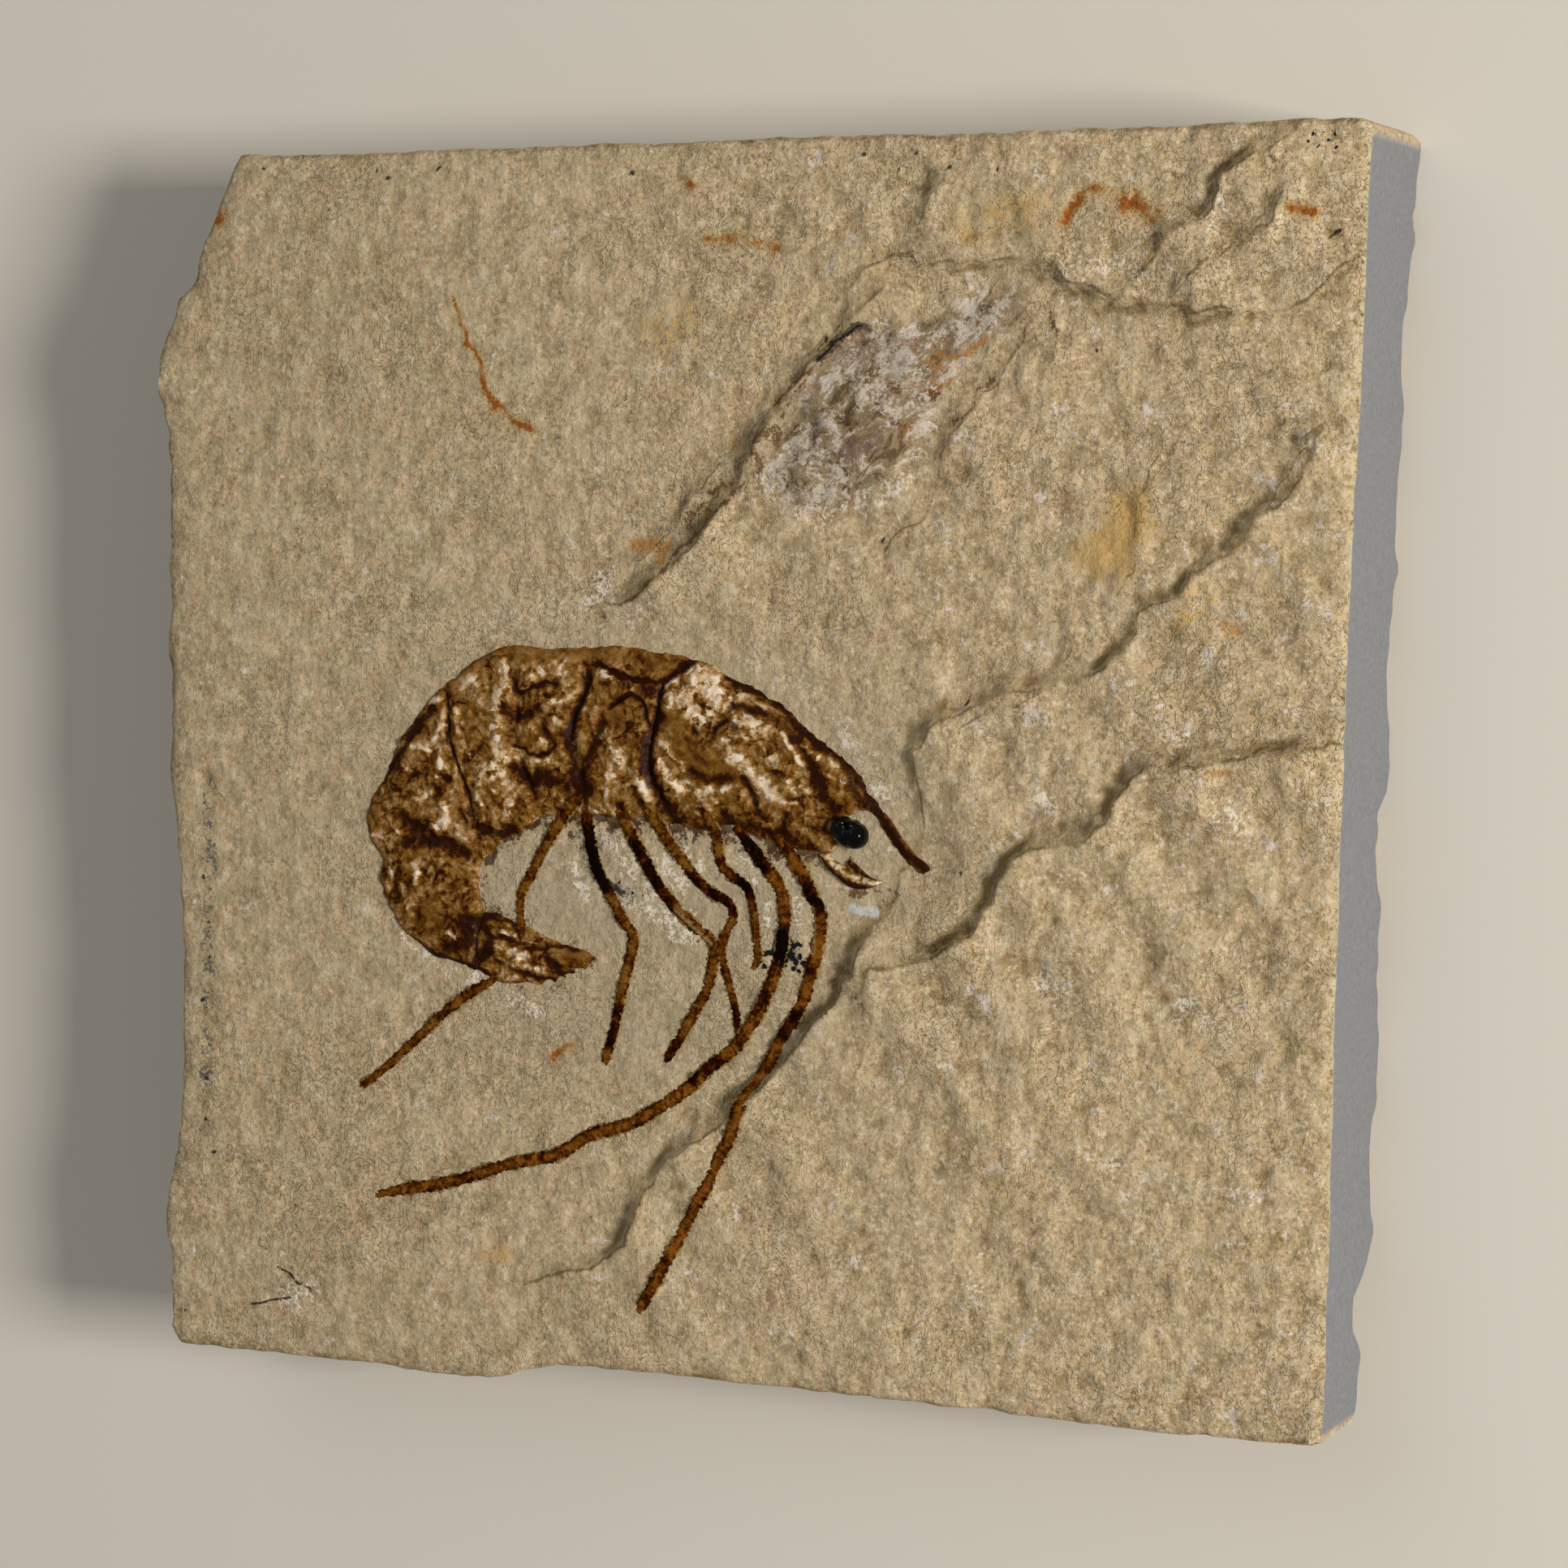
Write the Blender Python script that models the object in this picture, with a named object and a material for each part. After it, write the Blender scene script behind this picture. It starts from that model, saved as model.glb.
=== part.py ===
"""Fossil shrimp on a split slab of limestone, lying on its back with the fossil upwards.

Every number below is in millimetres unless its name says otherwise. x runs to the right along the
split face and y up it, both from the middle of the face. z runs from the back of the slab to the face.
"""

import bpy
import bmesh
import numpy as np
from mathutils import Vector, noise
from mathutils.geometry import delaunay_2d_cdt

MILLIMETRE = 0.001

# Driving dimensions
FACE = 14.2              # height of the low, prepared bed round the shrimp above what the slab lies on
MIDDLE = (-0.15, -0.25)  # middle of the slab's outline, which becomes the origin
GAP = 0.3                # space kept between two pieces that touch

SHELL_EDGE = 0.25        # thickness of a shell piece at its rim
SHELL_CROWN = 0.75       # how much thicker it is in the middle
SHELL_ROUNDING = 1.7     # how fast it thickens from the rim inwards
EYE_HEIGHT = 1.0

BULGE_RISE = 0.9         # height of the rough pale bulge above the shrimp
BULGE_SHOULDER = 3.0     # width of the bulge's slope
RIM_WEAR = 0.45          # how far the face drops at the worn right rim
RIM_WEAR_WIDTH = 1.6
RIM_CHIPS = 0.5          # how far the broken rims are rounded off
FACE_TILT = 0.4          # how much higher the right side of the face lies than the bed
WALL_HOLLOWS = 1.5       # how far the broken walls are sunk in
BACK_ROUGH = 0.35        # roughness where flakes have come away from the back

# Spacing of the points
FACE_CELL = 2.45
LEDGE_CELL = 2.2
BULGE_CELL = 1.8
RIM_CELL = 2.6
BACK_CELL = 5.0
SHELL_CELL = 1.7
LIMB_CELL = 1.9

# The slab's outline, clockwise from the upper left; SAWN_SIDE is its straight right side
TOP_EDGE = [(-43.6, 48.4), (-30, 48.5), (-20, 48.6), (-5, 48.8), (10, 48.9), (33, 49.1), (46, 49.4),
            (49.8, 49.3)]
SAWN_SIDE = [(50.9, 48.6), (49.9, 10), (49.5, -14), (49.1, -47.6)]
BOTTOM_EDGE = [(48.3, -48.9), (34.8, -49.0), (24.9, -48.8), (14.9, -48.4), (-2.3, -48.2), (-13, -48.3),
               (-17, -48.8), (-20.2, -49.9), (-30, -49.5), (-47.8, -49.3)]
LEFT_EDGE = [(-49.8, -47.9), (-49.8, -44), (-50.2, -40), (-49.3, -33.8), (-48.7, -31), (-48.7, -20),
             (-49.0, -10), (-50.1, -2.4), (-50.2, 10), (-50.1, 23.4), (-51.1, 28.9), (-51.2, 32.1),
             (-50.0, 35.3), (-48.0, 38.5), (-46.0, 43.7), (-44.5, 47.3)]
SLAB_OUTLINE = TOP_EDGE + SAWN_SIDE + BOTTOM_EDGE + LEFT_EDGE

# Ledges of the split face: rise, width of the slope, reach of the high side, and a line with that side
# to its right
FACE_LEDGES = [
    (0.9, 1.5, 14, [(-17, -42), (-10.5, -39.7), (-7.5, -37), (-5, -32), (0, -28), (6, -22), (11, -15.5),
                     (14.5, -9), (16.5, -5), (16.3, 1.2), (20, 5.2), (24, 7), (31, 8.5), (35, 13.5), (40, 17),
                     (44.5, 21), (48, 27)]),
    (0.95, 1.3, 11, [(12.6, -16.5), (16, -14.3), (21, -11.8), (24, -6.8), (26, -5), (30, -4.4), (33.5, -0.2),
                     (35.3, 1.2), (39, 1.6), (48, 3.2), (56, 4.5)]),
    (0.5, 1.6, 9, [(11, -25.5), (12.2, -20), (12, -17), (13.5, -14.5)]),
    (0.35, 1.0, 6, [(31, 12), (33.3, 16), (33.8, 20), (35.5, 26)]),
    (0.3, 0.9, 5, [(44.8, 14), (45.2, 17), (43.5, 20.5), (47, 25.5), (48.5, 29)]),
    (0.8, 1.4, 8, [(-13, 10.8), (-8.5, 13), (-3, 17), (2.5, 25), (8, 32.5), (12.5, 37.5), (15, 40.5)]),
    (0.45, 1.6, 7, [(13, 17), (18, 22), (19, 27), (22.5, 30.5), (25, 35)]),
    (0.65, 1.0, 8, [(56, 46), (50, 39), (48, 37.5), (45, 35.4), (38, 35.5), (32, 36.3), (28, 37.8),
                    (23, 39.3), (13, 40)]),
    (0.7, 1.6, 6, [(31, 35.5), (34, 38.5), (37, 41.5), (39.5, 44), (43, 47), (48, 52)]),
    (0.45, 1.2, 5, [(37, 38), (41, 40), (44.3, 43), (44.5, 47)]),
    (0.3, 1.4, 10, [(-41, -38.9), (-31, -38.5), (-24, -37.3), (-18, -35)]),
    (0.25, 1.2, 5, [(-14, -31), (-7, -29.8), (0, -26.3)]),
]

BULGE_OUTLINE = [(3, 23), (5, 27), (9, 33.5), (17, 35.5), (23, 37.5), (24.5, 36.5), (19.5, 31.5), (17, 27.5),
                 (15, 23.5), (12, 21), (8, 19.8), (5, 20.3)]

# Flakes lost from the back, as the ledges of the face: the rock is gone to the right of the line
BACK_LEDGES = [
    (1.8, 1.2, 90, [(45, -12), (44, 6), (45.5, 20), (44.5, 32), (46.5, 41), (52, 43), (60, 44)]),
    (1.9, 1.6, 90, [(37, -60), (38.5, -40), (41, -25), (40, -12), (44, -3), (52, -1), (60, 0)]),
    (3.9, 4.5, 90, [(24, -60), (30, -47), (39, -40.5), (52, -38.5), (60, -38)]),
    (2.6, 2.0, 90, [(-44, 26), (-45.5, 14), (-43.5, 2), (-45.5, -12), (-44.5, -27)]),
    (2.2, 2.2, 90, [(-41, -45.5), (-26, -43), (-9, -45), (8, -43.5), (20, -46)]),
    (2.4, 1.8, 90, [(30, 45.5), (14, 43.5), (-4, 45.5), (-22, 43.5), (-37, 45.5)]),
]

# The shrimp's outlines run clockwise round each piece; pieces that meet share a seam
CARAPACE_REAR = [(-4.0, -4.4), (-5.2, -2.6), (-6.2, -0.8), (-6.4, 0.8), (-6.1, 2.8), (-5.6, 4.8), (-5.2, 6.6),
                 (-3.8, 7.6), (-2.6, 8.6)]
CARAPACE_BACK = [(0, 7.4), (3.1, 6.2), (6.3, 4.0), (9.5, 1.7), (11.7, -0.5), (14.0, -3.3), (17.1, -6.9),
                 (16.6, -7.5)]
CARAPACE_MOUTH = [(15.2, -6.2), (13.6, -4.5), (12.6, -2.7), (10.6, -2.5), (8.9, -2.8), (8.3, -4.2),
                  (8.6, -5.6)]
CARAPACE_BELLY = [(7.4, -6.3), (5.9, -6.1), (3.9, -5.7), (0.7, -4.5), (-1.8, -4.7)]
ABDOMEN_BACK = [(-23.4, -16.3), (-26.7, -15.0), (-28.4, -13.6), (-29.9, -11.1), (-30.2, -8.6), (-31.2, -6.6),
                (-31.4, -4.2), (-29.9, -1.5), (-28.7, 1.2), (-26.8, 3.7), (-24.9, 5.7), (-22.0, 7.9),
                (-19.2, 9.2), (-14.7, 9.2), (-8.5, 9.5), (-4.5, 9.0)]
ABDOMEN_BELLY = [(-7, -4.1), (-11.4, -4.1), (-15.9, -4.4), (-17.6, -5.9), (-19.9, -7.3), (-21, -9.2)]
TAIL_SEAM = [(-20.7, -11.9), (-21.4, -14.3), (-21.2, -17.1)]
TAIL_EDGE = [(-19.5, -12.0), (-16.9, -12.9), (-14.5, -14.0), (-11.9, -14.6), (-10.7, -15.4), (-11.8, -16.4),
             (-13.4, -16.6), (-13.6, -17.4), (-15, -17.2), (-15.6, -17.8), (-19.4, -17.7)]
SCALE_OUTLINE = [(8.2, -6.9), (9.6, -6.2), (11.3, -6.5), (12.5, -7.6), (13.6, -8.2), (12.4, -9.0),
                 (10.4, -9.1), (9.0, -8.1)]
BED_FRONT = [(14.4, -8.2), (12.4, -9.6), (8.6, -8.6)]    # the flat bed reaches round the eye and the scale

# Grooves in the shell: depth, half width, line
CARAPACE_GROOVES = [
    (0.25, 0.5, [(-5, 0.3), (-3.8, -1.2), (-2, -1.8), (1.5, -1.0), (4.5, -2.7)]),
    (0.2, 0.4, [(0, 6.3), (4.5, 4.2), (9, 1.2), (12, -1.4)]),
    (0.2, 0.4, [(3.8, 2.6), (7.4, -1.2), (7.6, -4.6)]),
]
ABDOMEN_GROOVES = [      # the seams between the rings of the hind body, and a fold behind the carapace
    (0.35, 0.45, [(-11.9, 8.6), (-12.3, 4.8), (-12.9, 2.5), (-12.1, -0.5), (-12.4, -3.6)]),
    (0.3, 0.4, [(-18.9, 8.6), (-17.8, 5.2), (-18.1, 1.5), (-17, -1), (-16.3, -3.6)]),
    (0.3, 0.4, [(-24.6, 5.2), (-23.9, 2.5), (-22.8, -1), (-21.2, -3.6), (-20.2, -6.6)]),
    (0.35, 0.6, [(-30.6, -5.6), (-27, -6.2), (-23.6, -6.4), (-21.6, -8)]),
    (0.3, 0.5, [(-29.6, -10.6), (-26.5, -10.4), (-21.9, -10.6)]),
    (0.25, 0.5, [(-10.8, 7.6), (-9.6, 7.3), (-6.6, 6.4)]),
]
TAIL_GROOVES = [
    (0.2, 0.3, [(-20.6, -13.4), (-16, -14.6), (-12, -15.2)]),
    (0.2, 0.3, [(-20.6, -15.2), (-16.5, -16.0), (-13.5, -16.2)]),
]

EYE_LOBES = [(9.9, -4.15, 0.9), (11.0, -4.8, 1.05)]      # middle and radius of each half of the eye

# Legs and feelers: width at the root, width at the tip, height, centre line
LIMBS = {
    "leg_1": (0.75, 0.6, 0.4, [(-12.9, -4.9), (-14.4, -6), (-15.5, -7.6), (-16.8, -9.6), (-17.5, -12.0)]),
    "leg_1_end": (0.9, 0.5, 0.4, [(-20.3, -18.3), (-24.2, -20.6), (-28.5, -24.2), (-31.8, -26.8)]),
    "leg_2": (0.95, 0.6, 0.45, [(-11.6, -4.9), (-11.4, -6.1), (-10.4, -9.2), (-8.6, -12.1), (-7.6, -13.4),
                                (-7.9, -15.4), (-8.9, -19.2), (-10.1, -23.7)]),
    "leg_3": (0.9, 0.55, 0.4, [(-8.4, -4.9), (-6.5, -7.8), (-4.1, -10.9), (-1.8, -13.1), (-0.9, -14.2),
                               (-1.1, -15.9), (-2.2, -19), (-4.8, -23.2)]),
    "leg_4": (0.9, 0.5, 0.4, [(-5.5, -5.2), (-3.7, -7.4), (-1.1, -9.8), (0.6, -10.9), (0.9, -12.1),
                              (0.4, -13.6), (0.6, -16.6), (1.3, -20.6)]),
    "leg_5": (0.9, 0.5, 0.4, [(-1.1, -5.5), (-0.3, -7.4), (1.2, -8.7), (2.3, -9.8), (2.9, -12.9),
                              (2.6, -15.5)]),
    "antenna_long": (1.0, 0.75, 0.5, [(1.4, -5.6), (3.3, -7.4), (4.6, -8.9), (5.2, -10.8), (5, -13.9),
                                      (3.5, -18.1), (1.1, -21.8), (-2.4, -24.8), (-7.8, -28.3),
                                      (-14, -31.0), (-21.7, -33.4), (-30.4, -35.5)]),
    "antenna_short": (1.0, 0.6, 0.5, [(5.4, -6.9), (7.1, -9.0), (8.1, -11), (7.9, -14), (6.1, -19.2),
                                      (3.1, -24.4), (-0.1, -30.9), (-3.8, -38), (-6.8, -43.2)]),
}
LIMB_FLANK = 0.12        # height of the upright flank under a limb's rounded top
LIMB_SHOULDER = 0.55     # half width of that top, as a share of the limb's
LIMB_KNOBS = 0.12        # how much a limb swells and narrows in turn
LIMB_THINNING = 0.3      # share of its height that a limb loses towards its tip


# Curves, distances and heights


def curve(points, spacing):
    """Points about spacing apart on a smooth curve through the given ones."""
    knots = np.array(points, float)
    chord = np.linalg.norm(np.diff(knots, axis=0), axis=1)
    slope = np.diff(knots, axis=0) / chord[:, None]
    weight = (chord[1:] + chord[:-1])[:, None]
    middle = (slope[1:] * chord[:-1, None] + slope[:-1] * chord[1:, None]) / weight
    tangent = np.vstack([slope[:1], middle, slope[-1:]])
    pieces = []
    for i, length in enumerate(chord):
        t = np.linspace(0, 1, max(1, round(length / spacing)), endpoint=False)[:, None]
        path = knots[i] * (1 - 3 * t**2 + 2 * t**3) + knots[i + 1] * (3 * t**2 - 2 * t**3)
        bend = tangent[i] * (t - 2 * t**2 + t**3) + tangent[i + 1] * (t**3 - t**2)
        pieces.append(path + bend * length)
    return np.vstack(pieces + [knots[-1:]])


def spaced(outline, cell):
    """The corners of a closed outline with more points between those that lie far apart."""
    corners = np.array(outline, float)
    points = []
    for here, there in zip(corners, np.roll(corners, -1, axis=0)):
        steps = max(1, round(np.linalg.norm(there - here) / cell))
        points += [here + (there - here) * i / steps for i in range(steps)]
    return np.array(points)


def rightward(along):
    """Unit vectors that point to the right of the given directions."""
    return np.stack([along[:, 1], -along[:, 0]], 1) / np.linalg.norm(along, axis=1)[:, None]


def shrink(outline, by):
    """A clockwise outline moved inwards."""
    return outline + by * rightward(np.roll(outline, -1, axis=0) - np.roll(outline, 1, axis=0))


def soft_step(t):
    """0 below 0, 1 above 1 and a smooth rise between."""
    t = np.clip(t, 0, 1)
    return t * t * (3 - 2 * t)


def nearest(spots, line):
    """Distance of each spot from a line, plus to its right, and how far along it the nearest place is."""
    run = np.diff(line, axis=0)
    length = np.linalg.norm(run, axis=1)
    start_at = np.concatenate([[0], np.cumsum(length)[:-1]])
    away = spots[:, None, :] - line[None, :-1, :]
    t = np.clip((away * run).sum(2) / length**2, 0, 1)
    off = away - t[:, :, None] * run
    distance = np.hypot(off[:, :, 0], off[:, :, 1])
    best = distance.argmin(1)
    row = np.arange(len(spots))
    to_right = run[best, 1] * away[row, best, 0] - run[best, 0] * away[row, best, 1]
    side = np.where(to_right < 0, -1.0, 1.0)
    return distance[row, best] * side, start_at[best] + t[row, best] * length[best]


def inside(spots, outline):
    """Distance of each spot from a closed clockwise outline, plus inside it."""
    return nearest(spots, np.vstack([outline, outline[:1]]))[0]


def lumps(spots, size, seed):
    """Smooth noise between about -1 and 1 with lumps of the given size."""
    return np.array([noise.noise(Vector((x / size, y / size, seed))) for x, y in spots])


def ledge_height(spots, rise, slope, reach, points):
    """A ledge: right of its line the rock stands higher by rise, and sinks back over reach."""
    line = curve(points, 1.0)
    right, along = nearest(spots, line)
    total = np.linalg.norm(np.diff(line, axis=0), axis=1).sum()
    fade = min(9.0, total / 2.5)
    ends = soft_step(along / fade) * soft_step((total - along) / fade)
    uneven = 1 + 0.2 * np.sin(along * 0.9) + 0.15 * np.sin(along * 0.37 + 2)
    return rise * uneven * ends * soft_step(right / slope + 0.5) * np.exp(-np.maximum(right, 0) / reach)


def face_relief(spots):
    """Height of the split face over the prepared bed, which is flat under the shrimp."""
    height = sum(ledge_height(spots, *ledge) for ledge in FACE_LEDGES)
    on_bulge = soft_step(inside(spots, bulge_rim()) / BULGE_SHOULDER)
    height += on_bulge * BULGE_RISE * (1 + 0.6 * lumps(spots, 2.6, 3.0))
    coarse = soft_step((spots[:, 0] + 12) / 30)
    height += (0.07 + 0.18 * coarse) * lumps(spots, 4.6, 1.0) + 0.25 * lumps(spots, 21.0, 2.0)
    height += FACE_TILT * soft_step((spots[:, 0] + 10) / 50)
    sawn_y, sawn_x = zip(*sorted((y, x) for x, y in SAWN_SIDE))
    worn = 1 - (np.interp(spots[:, 1], sawn_y, sawn_x) - spots[:, 0]) / RIM_WEAR_WIDTH
    height -= RIM_WEAR * np.clip(worn, 0, 1) ** 2
    to_rim = inside(spots, np.array(SLAB_OUTLINE))
    height -= RIM_CHIPS * np.exp(-to_rim / 0.8) * (1 + lumps(spots, 4.0, 4.0)) * (worn < 0)
    body = np.array(ABDOMEN_BACK + CARAPACE_BACK + BED_FRONT + CARAPACE_BELLY + ABDOMEN_BELLY + TAIL_EDGE)
    return height * soft_step((-inside(spots, body) - 0.8) / 4.0)


def bulge_rim():
    """The bulge's outline, rounded."""
    return curve(BULGE_OUTLINE + BULGE_OUTLINE[:1], BULGE_CELL)[:-1]


def back_height(spots):
    """Height of the back over what the slab lies on: 0 except where flakes have come away."""
    height = sum(ledge_height(spots, *ledge) for ledge in BACK_LEDGES)
    rough = BACK_ROUGH * lumps(spots, 4.0, 5.0) * soft_step(height)
    return np.where(height > 0.02, np.maximum(height + rough, 0), 0)


# Building closed solids


def make_material(name, red, green, blue, roughness):
    """A dull mineral finish; the colour is in linear light."""
    made = bpy.data.materials.new(name)
    made.use_nodes = True
    shader = made.node_tree.nodes["Principled BSDF"]
    shader.inputs["Base Color"].default_value = (red, green, blue, 1)
    shader.inputs["Roughness"].default_value = roughness
    shader.inputs["Metallic"].default_value = 0
    return made


def make_object(name, corners, faces, finish):
    """A named object from corners in millimetres, with its faces turned outwards."""
    mesh = bpy.data.meshes.new(name)
    shift = Vector((*MIDDLE, 0))
    mesh.from_pydata([(Vector(corner) - shift) * MILLIMETRE for corner in corners], [], faces)
    shape = bmesh.new()
    shape.from_mesh(mesh)
    bmesh.ops.delete(shape, geom=[corner for corner in shape.verts if not corner.link_faces], context="VERTS")
    bmesh.ops.recalc_face_normals(shape, faces=shape.faces)
    shape.to_mesh(mesh)
    shape.free()
    mesh.materials.append(finish)
    bpy.context.scene.collection.objects.link(bpy.data.objects.new(name, mesh))


def grid_inside(outline, cell, margin):
    """Points of a staggered grid that lie at least margin inside a clockwise outline."""
    low, high = outline.min(0), outline.max(0)
    rows = enumerate(np.arange(low[1], high[1], cell * 0.87))
    spots = np.array([(x, y) for i, y in rows for x in np.arange(low[0] + (i % 2) * cell / 2, high[0], cell)])
    return spots[inside(spots, outline) > margin]


def both_sides(points, width, cell):
    """Two lines of points, half a width to the left and to the right of a line."""
    line = curve(points, cell)
    aside = rightward(np.gradient(line, axis=0)) * width / 2
    return [line - aside, line + aside]


def clear_of(spots, lines, room):
    """The spots that keep some room to every line."""
    keep = np.ones(len(spots), bool)
    for line in lines:
        keep &= np.abs(nearest(spots, line)[0]) > room
    return spots[keep]


def triangulate(outline, lines, loose):
    """Triangles that fill a closed outline, with edges along the lines, and where each rim point went."""
    spots = [tuple(p) for p in outline]
    edges = []
    for line in lines:
        within = inside(line, outline) > 0.5
        for k in np.flatnonzero(within):
            spots.append(tuple(line[k]))
            if k and within[k - 1]:
                edges.append((len(spots) - 2, len(spots) - 1))
    spots += [tuple(p) for p in loose]
    ring = list(range(len(outline)))[::-1]
    corners, _, faces, sources, _, _ = delaunay_2d_cdt([Vector(p) for p in spots], edges, [ring], 1, 1e-4)
    place = {old: new for new, olds in enumerate(sources) for old in olds}
    return np.array([tuple(p) for p in corners]), faces, [place[i] for i in range(len(outline))]


def closed_plate(name, top, top_height, bottom, bottom_height, wall_rings, finish):
    """A solid between two triangulated sheets, whose wall passes through rings of points."""
    top_spots, top_faces, top_ring = top
    low_spots, low_faces, low_ring = bottom
    corners = [(x, y, z) for (x, y), z in zip(top_spots, top_height)]
    corners += [(x, y, z) for (x, y), z in zip(low_spots, bottom_height)]
    faces = list(top_faces) + [[len(top_spots) + i for i in face] for face in low_faces]
    count = len(top_ring)
    rings = [top_ring]
    for ring in wall_rings:
        rings.append(range(len(corners), len(corners) + count))
        corners += ring
    rings.append([len(top_spots) + i for i in low_ring])
    for upper, lower in zip(rings, rings[1:]):
        for i in range(count):
            j = (i + 1) % count
            faces += [(upper[i], upper[j], lower[j]), (upper[i], lower[j], lower[i])]
    make_object(name, corners, faces, finish)


# The pieces


def make_slab(finish):
    """The limestone: split face, sawn right side, broken other sides and flaked back."""
    rim = spaced(SLAB_OUTLINE, RIM_CELL)
    ledges = [side for _, slope, _, line in FACE_LEDGES for side in both_sides(line, slope, LEDGE_CELL)]
    bulge = bulge_rim()
    grid = grid_inside(rim, FACE_CELL, 1.2)
    grid = np.vstack([grid[inside(grid, bulge) < -0.8], grid_inside(bulge, BULGE_CELL, 0.8)])
    top = triangulate(rim, ledges + [bulge], clear_of(grid, ledges, 1.1))
    broken = rim[:, 0] < SAWN_SIDE[-1][0] - 0.1
    hollows = [WALL_HOLLOWS * broken * (0.5 + 0.5 * lumps(rim, 5.0, seed)) for seed in (6.0, 7.0, 8.0)]
    low_rim = shrink(rim, hollows[2][:, None])
    scars = [side for _, slope, _, line in BACK_LEDGES for side in both_sides(line, slope, BACK_CELL)]
    loose = clear_of(grid_inside(low_rim, BACK_CELL, 2.0), scars, 1.8)
    bottom = triangulate(low_rim, scars, loose[back_height(loose) > 0.05])
    low = back_height(low_rim)
    wall_rings = []
    for level, sunk in zip((0.7, 0.35), hollows):
        height = low + (FACE - low) * (level + 0.1 * lumps(rim, 7.0, 9.0))
        wall_rings.append([(x, y, z) for (x, y), z in zip(shrink(rim, sunk[:, None]), height)])
    closed_plate("slab", top, FACE + face_relief(top[0]), bottom, back_height(bottom[0]), wall_rings, finish)


def make_shell(name, outline, grooves, crown, finish):
    """A thin crowned plate of fossil shell on the flat bed."""
    rim = shrink(spaced(outline, SHELL_CELL), GAP / 2)
    creases = [curve(line, SHELL_CELL) for _, _, line in grooves]
    for _, half, line in grooves:
        creases += both_sides(line, 4 * half, SHELL_CELL)
    top = triangulate(rim, creases, clear_of(grid_inside(rim, SHELL_CELL, 0.7), creases, 0.6))
    bottom = triangulate(rim, [], [])
    depth_in = np.maximum(inside(top[0], rim), 0)
    height = SHELL_EDGE + crown * (1 - np.exp(-depth_in / SHELL_ROUNDING))
    for depth, half, line in grooves:
        across = nearest(top[0], curve(line, SHELL_CELL))[0]
        height -= depth * np.exp(-((across / half) ** 2)) * soft_step(depth_in)
    height += 0.08 * lumps(top[0], 2.0, 9.0) * soft_step(depth_in)
    underside = np.full(len(bottom[0]), FACE + GAP)
    closed_plate(name, top, FACE + GAP + height, bottom, underside, [], finish)


def make_eye(finish):
    """A bead of two round lobes grown together."""
    lobes = np.array(EYE_LOBES)
    heart = lobes[:, :2].mean(0)
    turn = -np.linspace(0, 2 * np.pi, 20, endpoint=False)
    rays = np.stack([np.cos(turn), np.sin(turn)], 1)
    towards = rays @ (lobes[:, :2] - heart).T
    reach = towards + np.sqrt(towards**2 + lobes[:, 2] ** 2 - ((lobes[:, :2] - heart) ** 2).sum(1))
    rim = heart + rays * reach.max(1)[:, None]
    rings = [heart + (rim - heart) * share for share in (0.9, 0.72, 0.45)]
    top = triangulate(rim, [], np.vstack(rings + [heart]))
    away = np.linalg.norm(top[0][:, None] - lobes[:, :2], axis=2) / lobes[:, 2]
    dome = EYE_HEIGHT * np.sqrt(np.maximum(1 - away**2, 0)).max(1)
    bottom = triangulate(rim, [], [])
    underside = np.full(len(bottom[0]), FACE + GAP)
    closed_plate("eye", top, FACE + GAP + SHELL_EDGE + dome, bottom, underside, [], finish)


def make_limb(name, root_width, tip_width, height, points, finish):
    """A raised strip of shell with a rounded top that follows the rock."""
    line = curve(points, LIMB_CELL)
    corners = []
    for i, (spot, aside) in enumerate(zip(line, rightward(np.gradient(line, axis=0)))):
        share = i / (len(line) - 1)
        half = (root_width + (tip_width - root_width) * share) / 2 * (1 + LIMB_KNOBS * (-1) ** i)
        across = [spot + aside * half * k for k in (-1, -LIMB_SHOULDER, LIMB_SHOULDER, 1)]
        base = FACE + face_relief(np.array(across)).max() + GAP
        low = base + LIMB_FLANK
        high = base + height * (1 - LIMB_THINNING * share)
        section = [(across[0], base), (across[0], low), (across[1], high), (across[2], high),
                   (across[3], low), (across[3], base)]
        corners += [(x, y, z) for (x, y), z in section]
    count = len(section)
    faces = [range(count), range(len(corners) - count, len(corners))]
    for a in range(0, len(corners) - count, count):
        for k in range(count):
            b = (k + 1) % count
            faces += [(a + k, a + b, a + b + count), (a + k, a + b + count, a + k + count)]
    make_object(name, corners, faces, finish)


for thing in list(bpy.data.objects):
    bpy.data.objects.remove(thing, do_unlink=True)

stone = make_material("split_limestone", 0.36, 0.28, 0.18, 0.85)
shell = make_material("fossil_shell", 0.17, 0.085, 0.02, 0.5)
pale_shell = make_material("pale_fossil_shell", 0.4, 0.28, 0.17, 0.6)
black_glaze = make_material("black_mineral", 0.006, 0.006, 0.007, 0.2)

make_slab(stone)
make_shell("carapace", CARAPACE_REAR + CARAPACE_BACK + CARAPACE_MOUTH + CARAPACE_BELLY, CARAPACE_GROOVES,
           SHELL_CROWN, shell)
make_shell("abdomen", ABDOMEN_BACK + CARAPACE_REAR[::-1] + ABDOMEN_BELLY + TAIL_SEAM, ABDOMEN_GROOVES,
           SHELL_CROWN, shell)
make_shell("tail_fan", TAIL_SEAM[::-1] + TAIL_EDGE, TAIL_GROOVES, SHELL_CROWN * 0.7, shell)
make_shell("antennal_scale", SCALE_OUTLINE, [], SHELL_CROWN * 0.5, pale_shell)
make_eye(black_glaze)
for limb_name, limb_sizes in LIMBS.items():
    make_limb(limb_name, *limb_sizes, shell)
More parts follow.
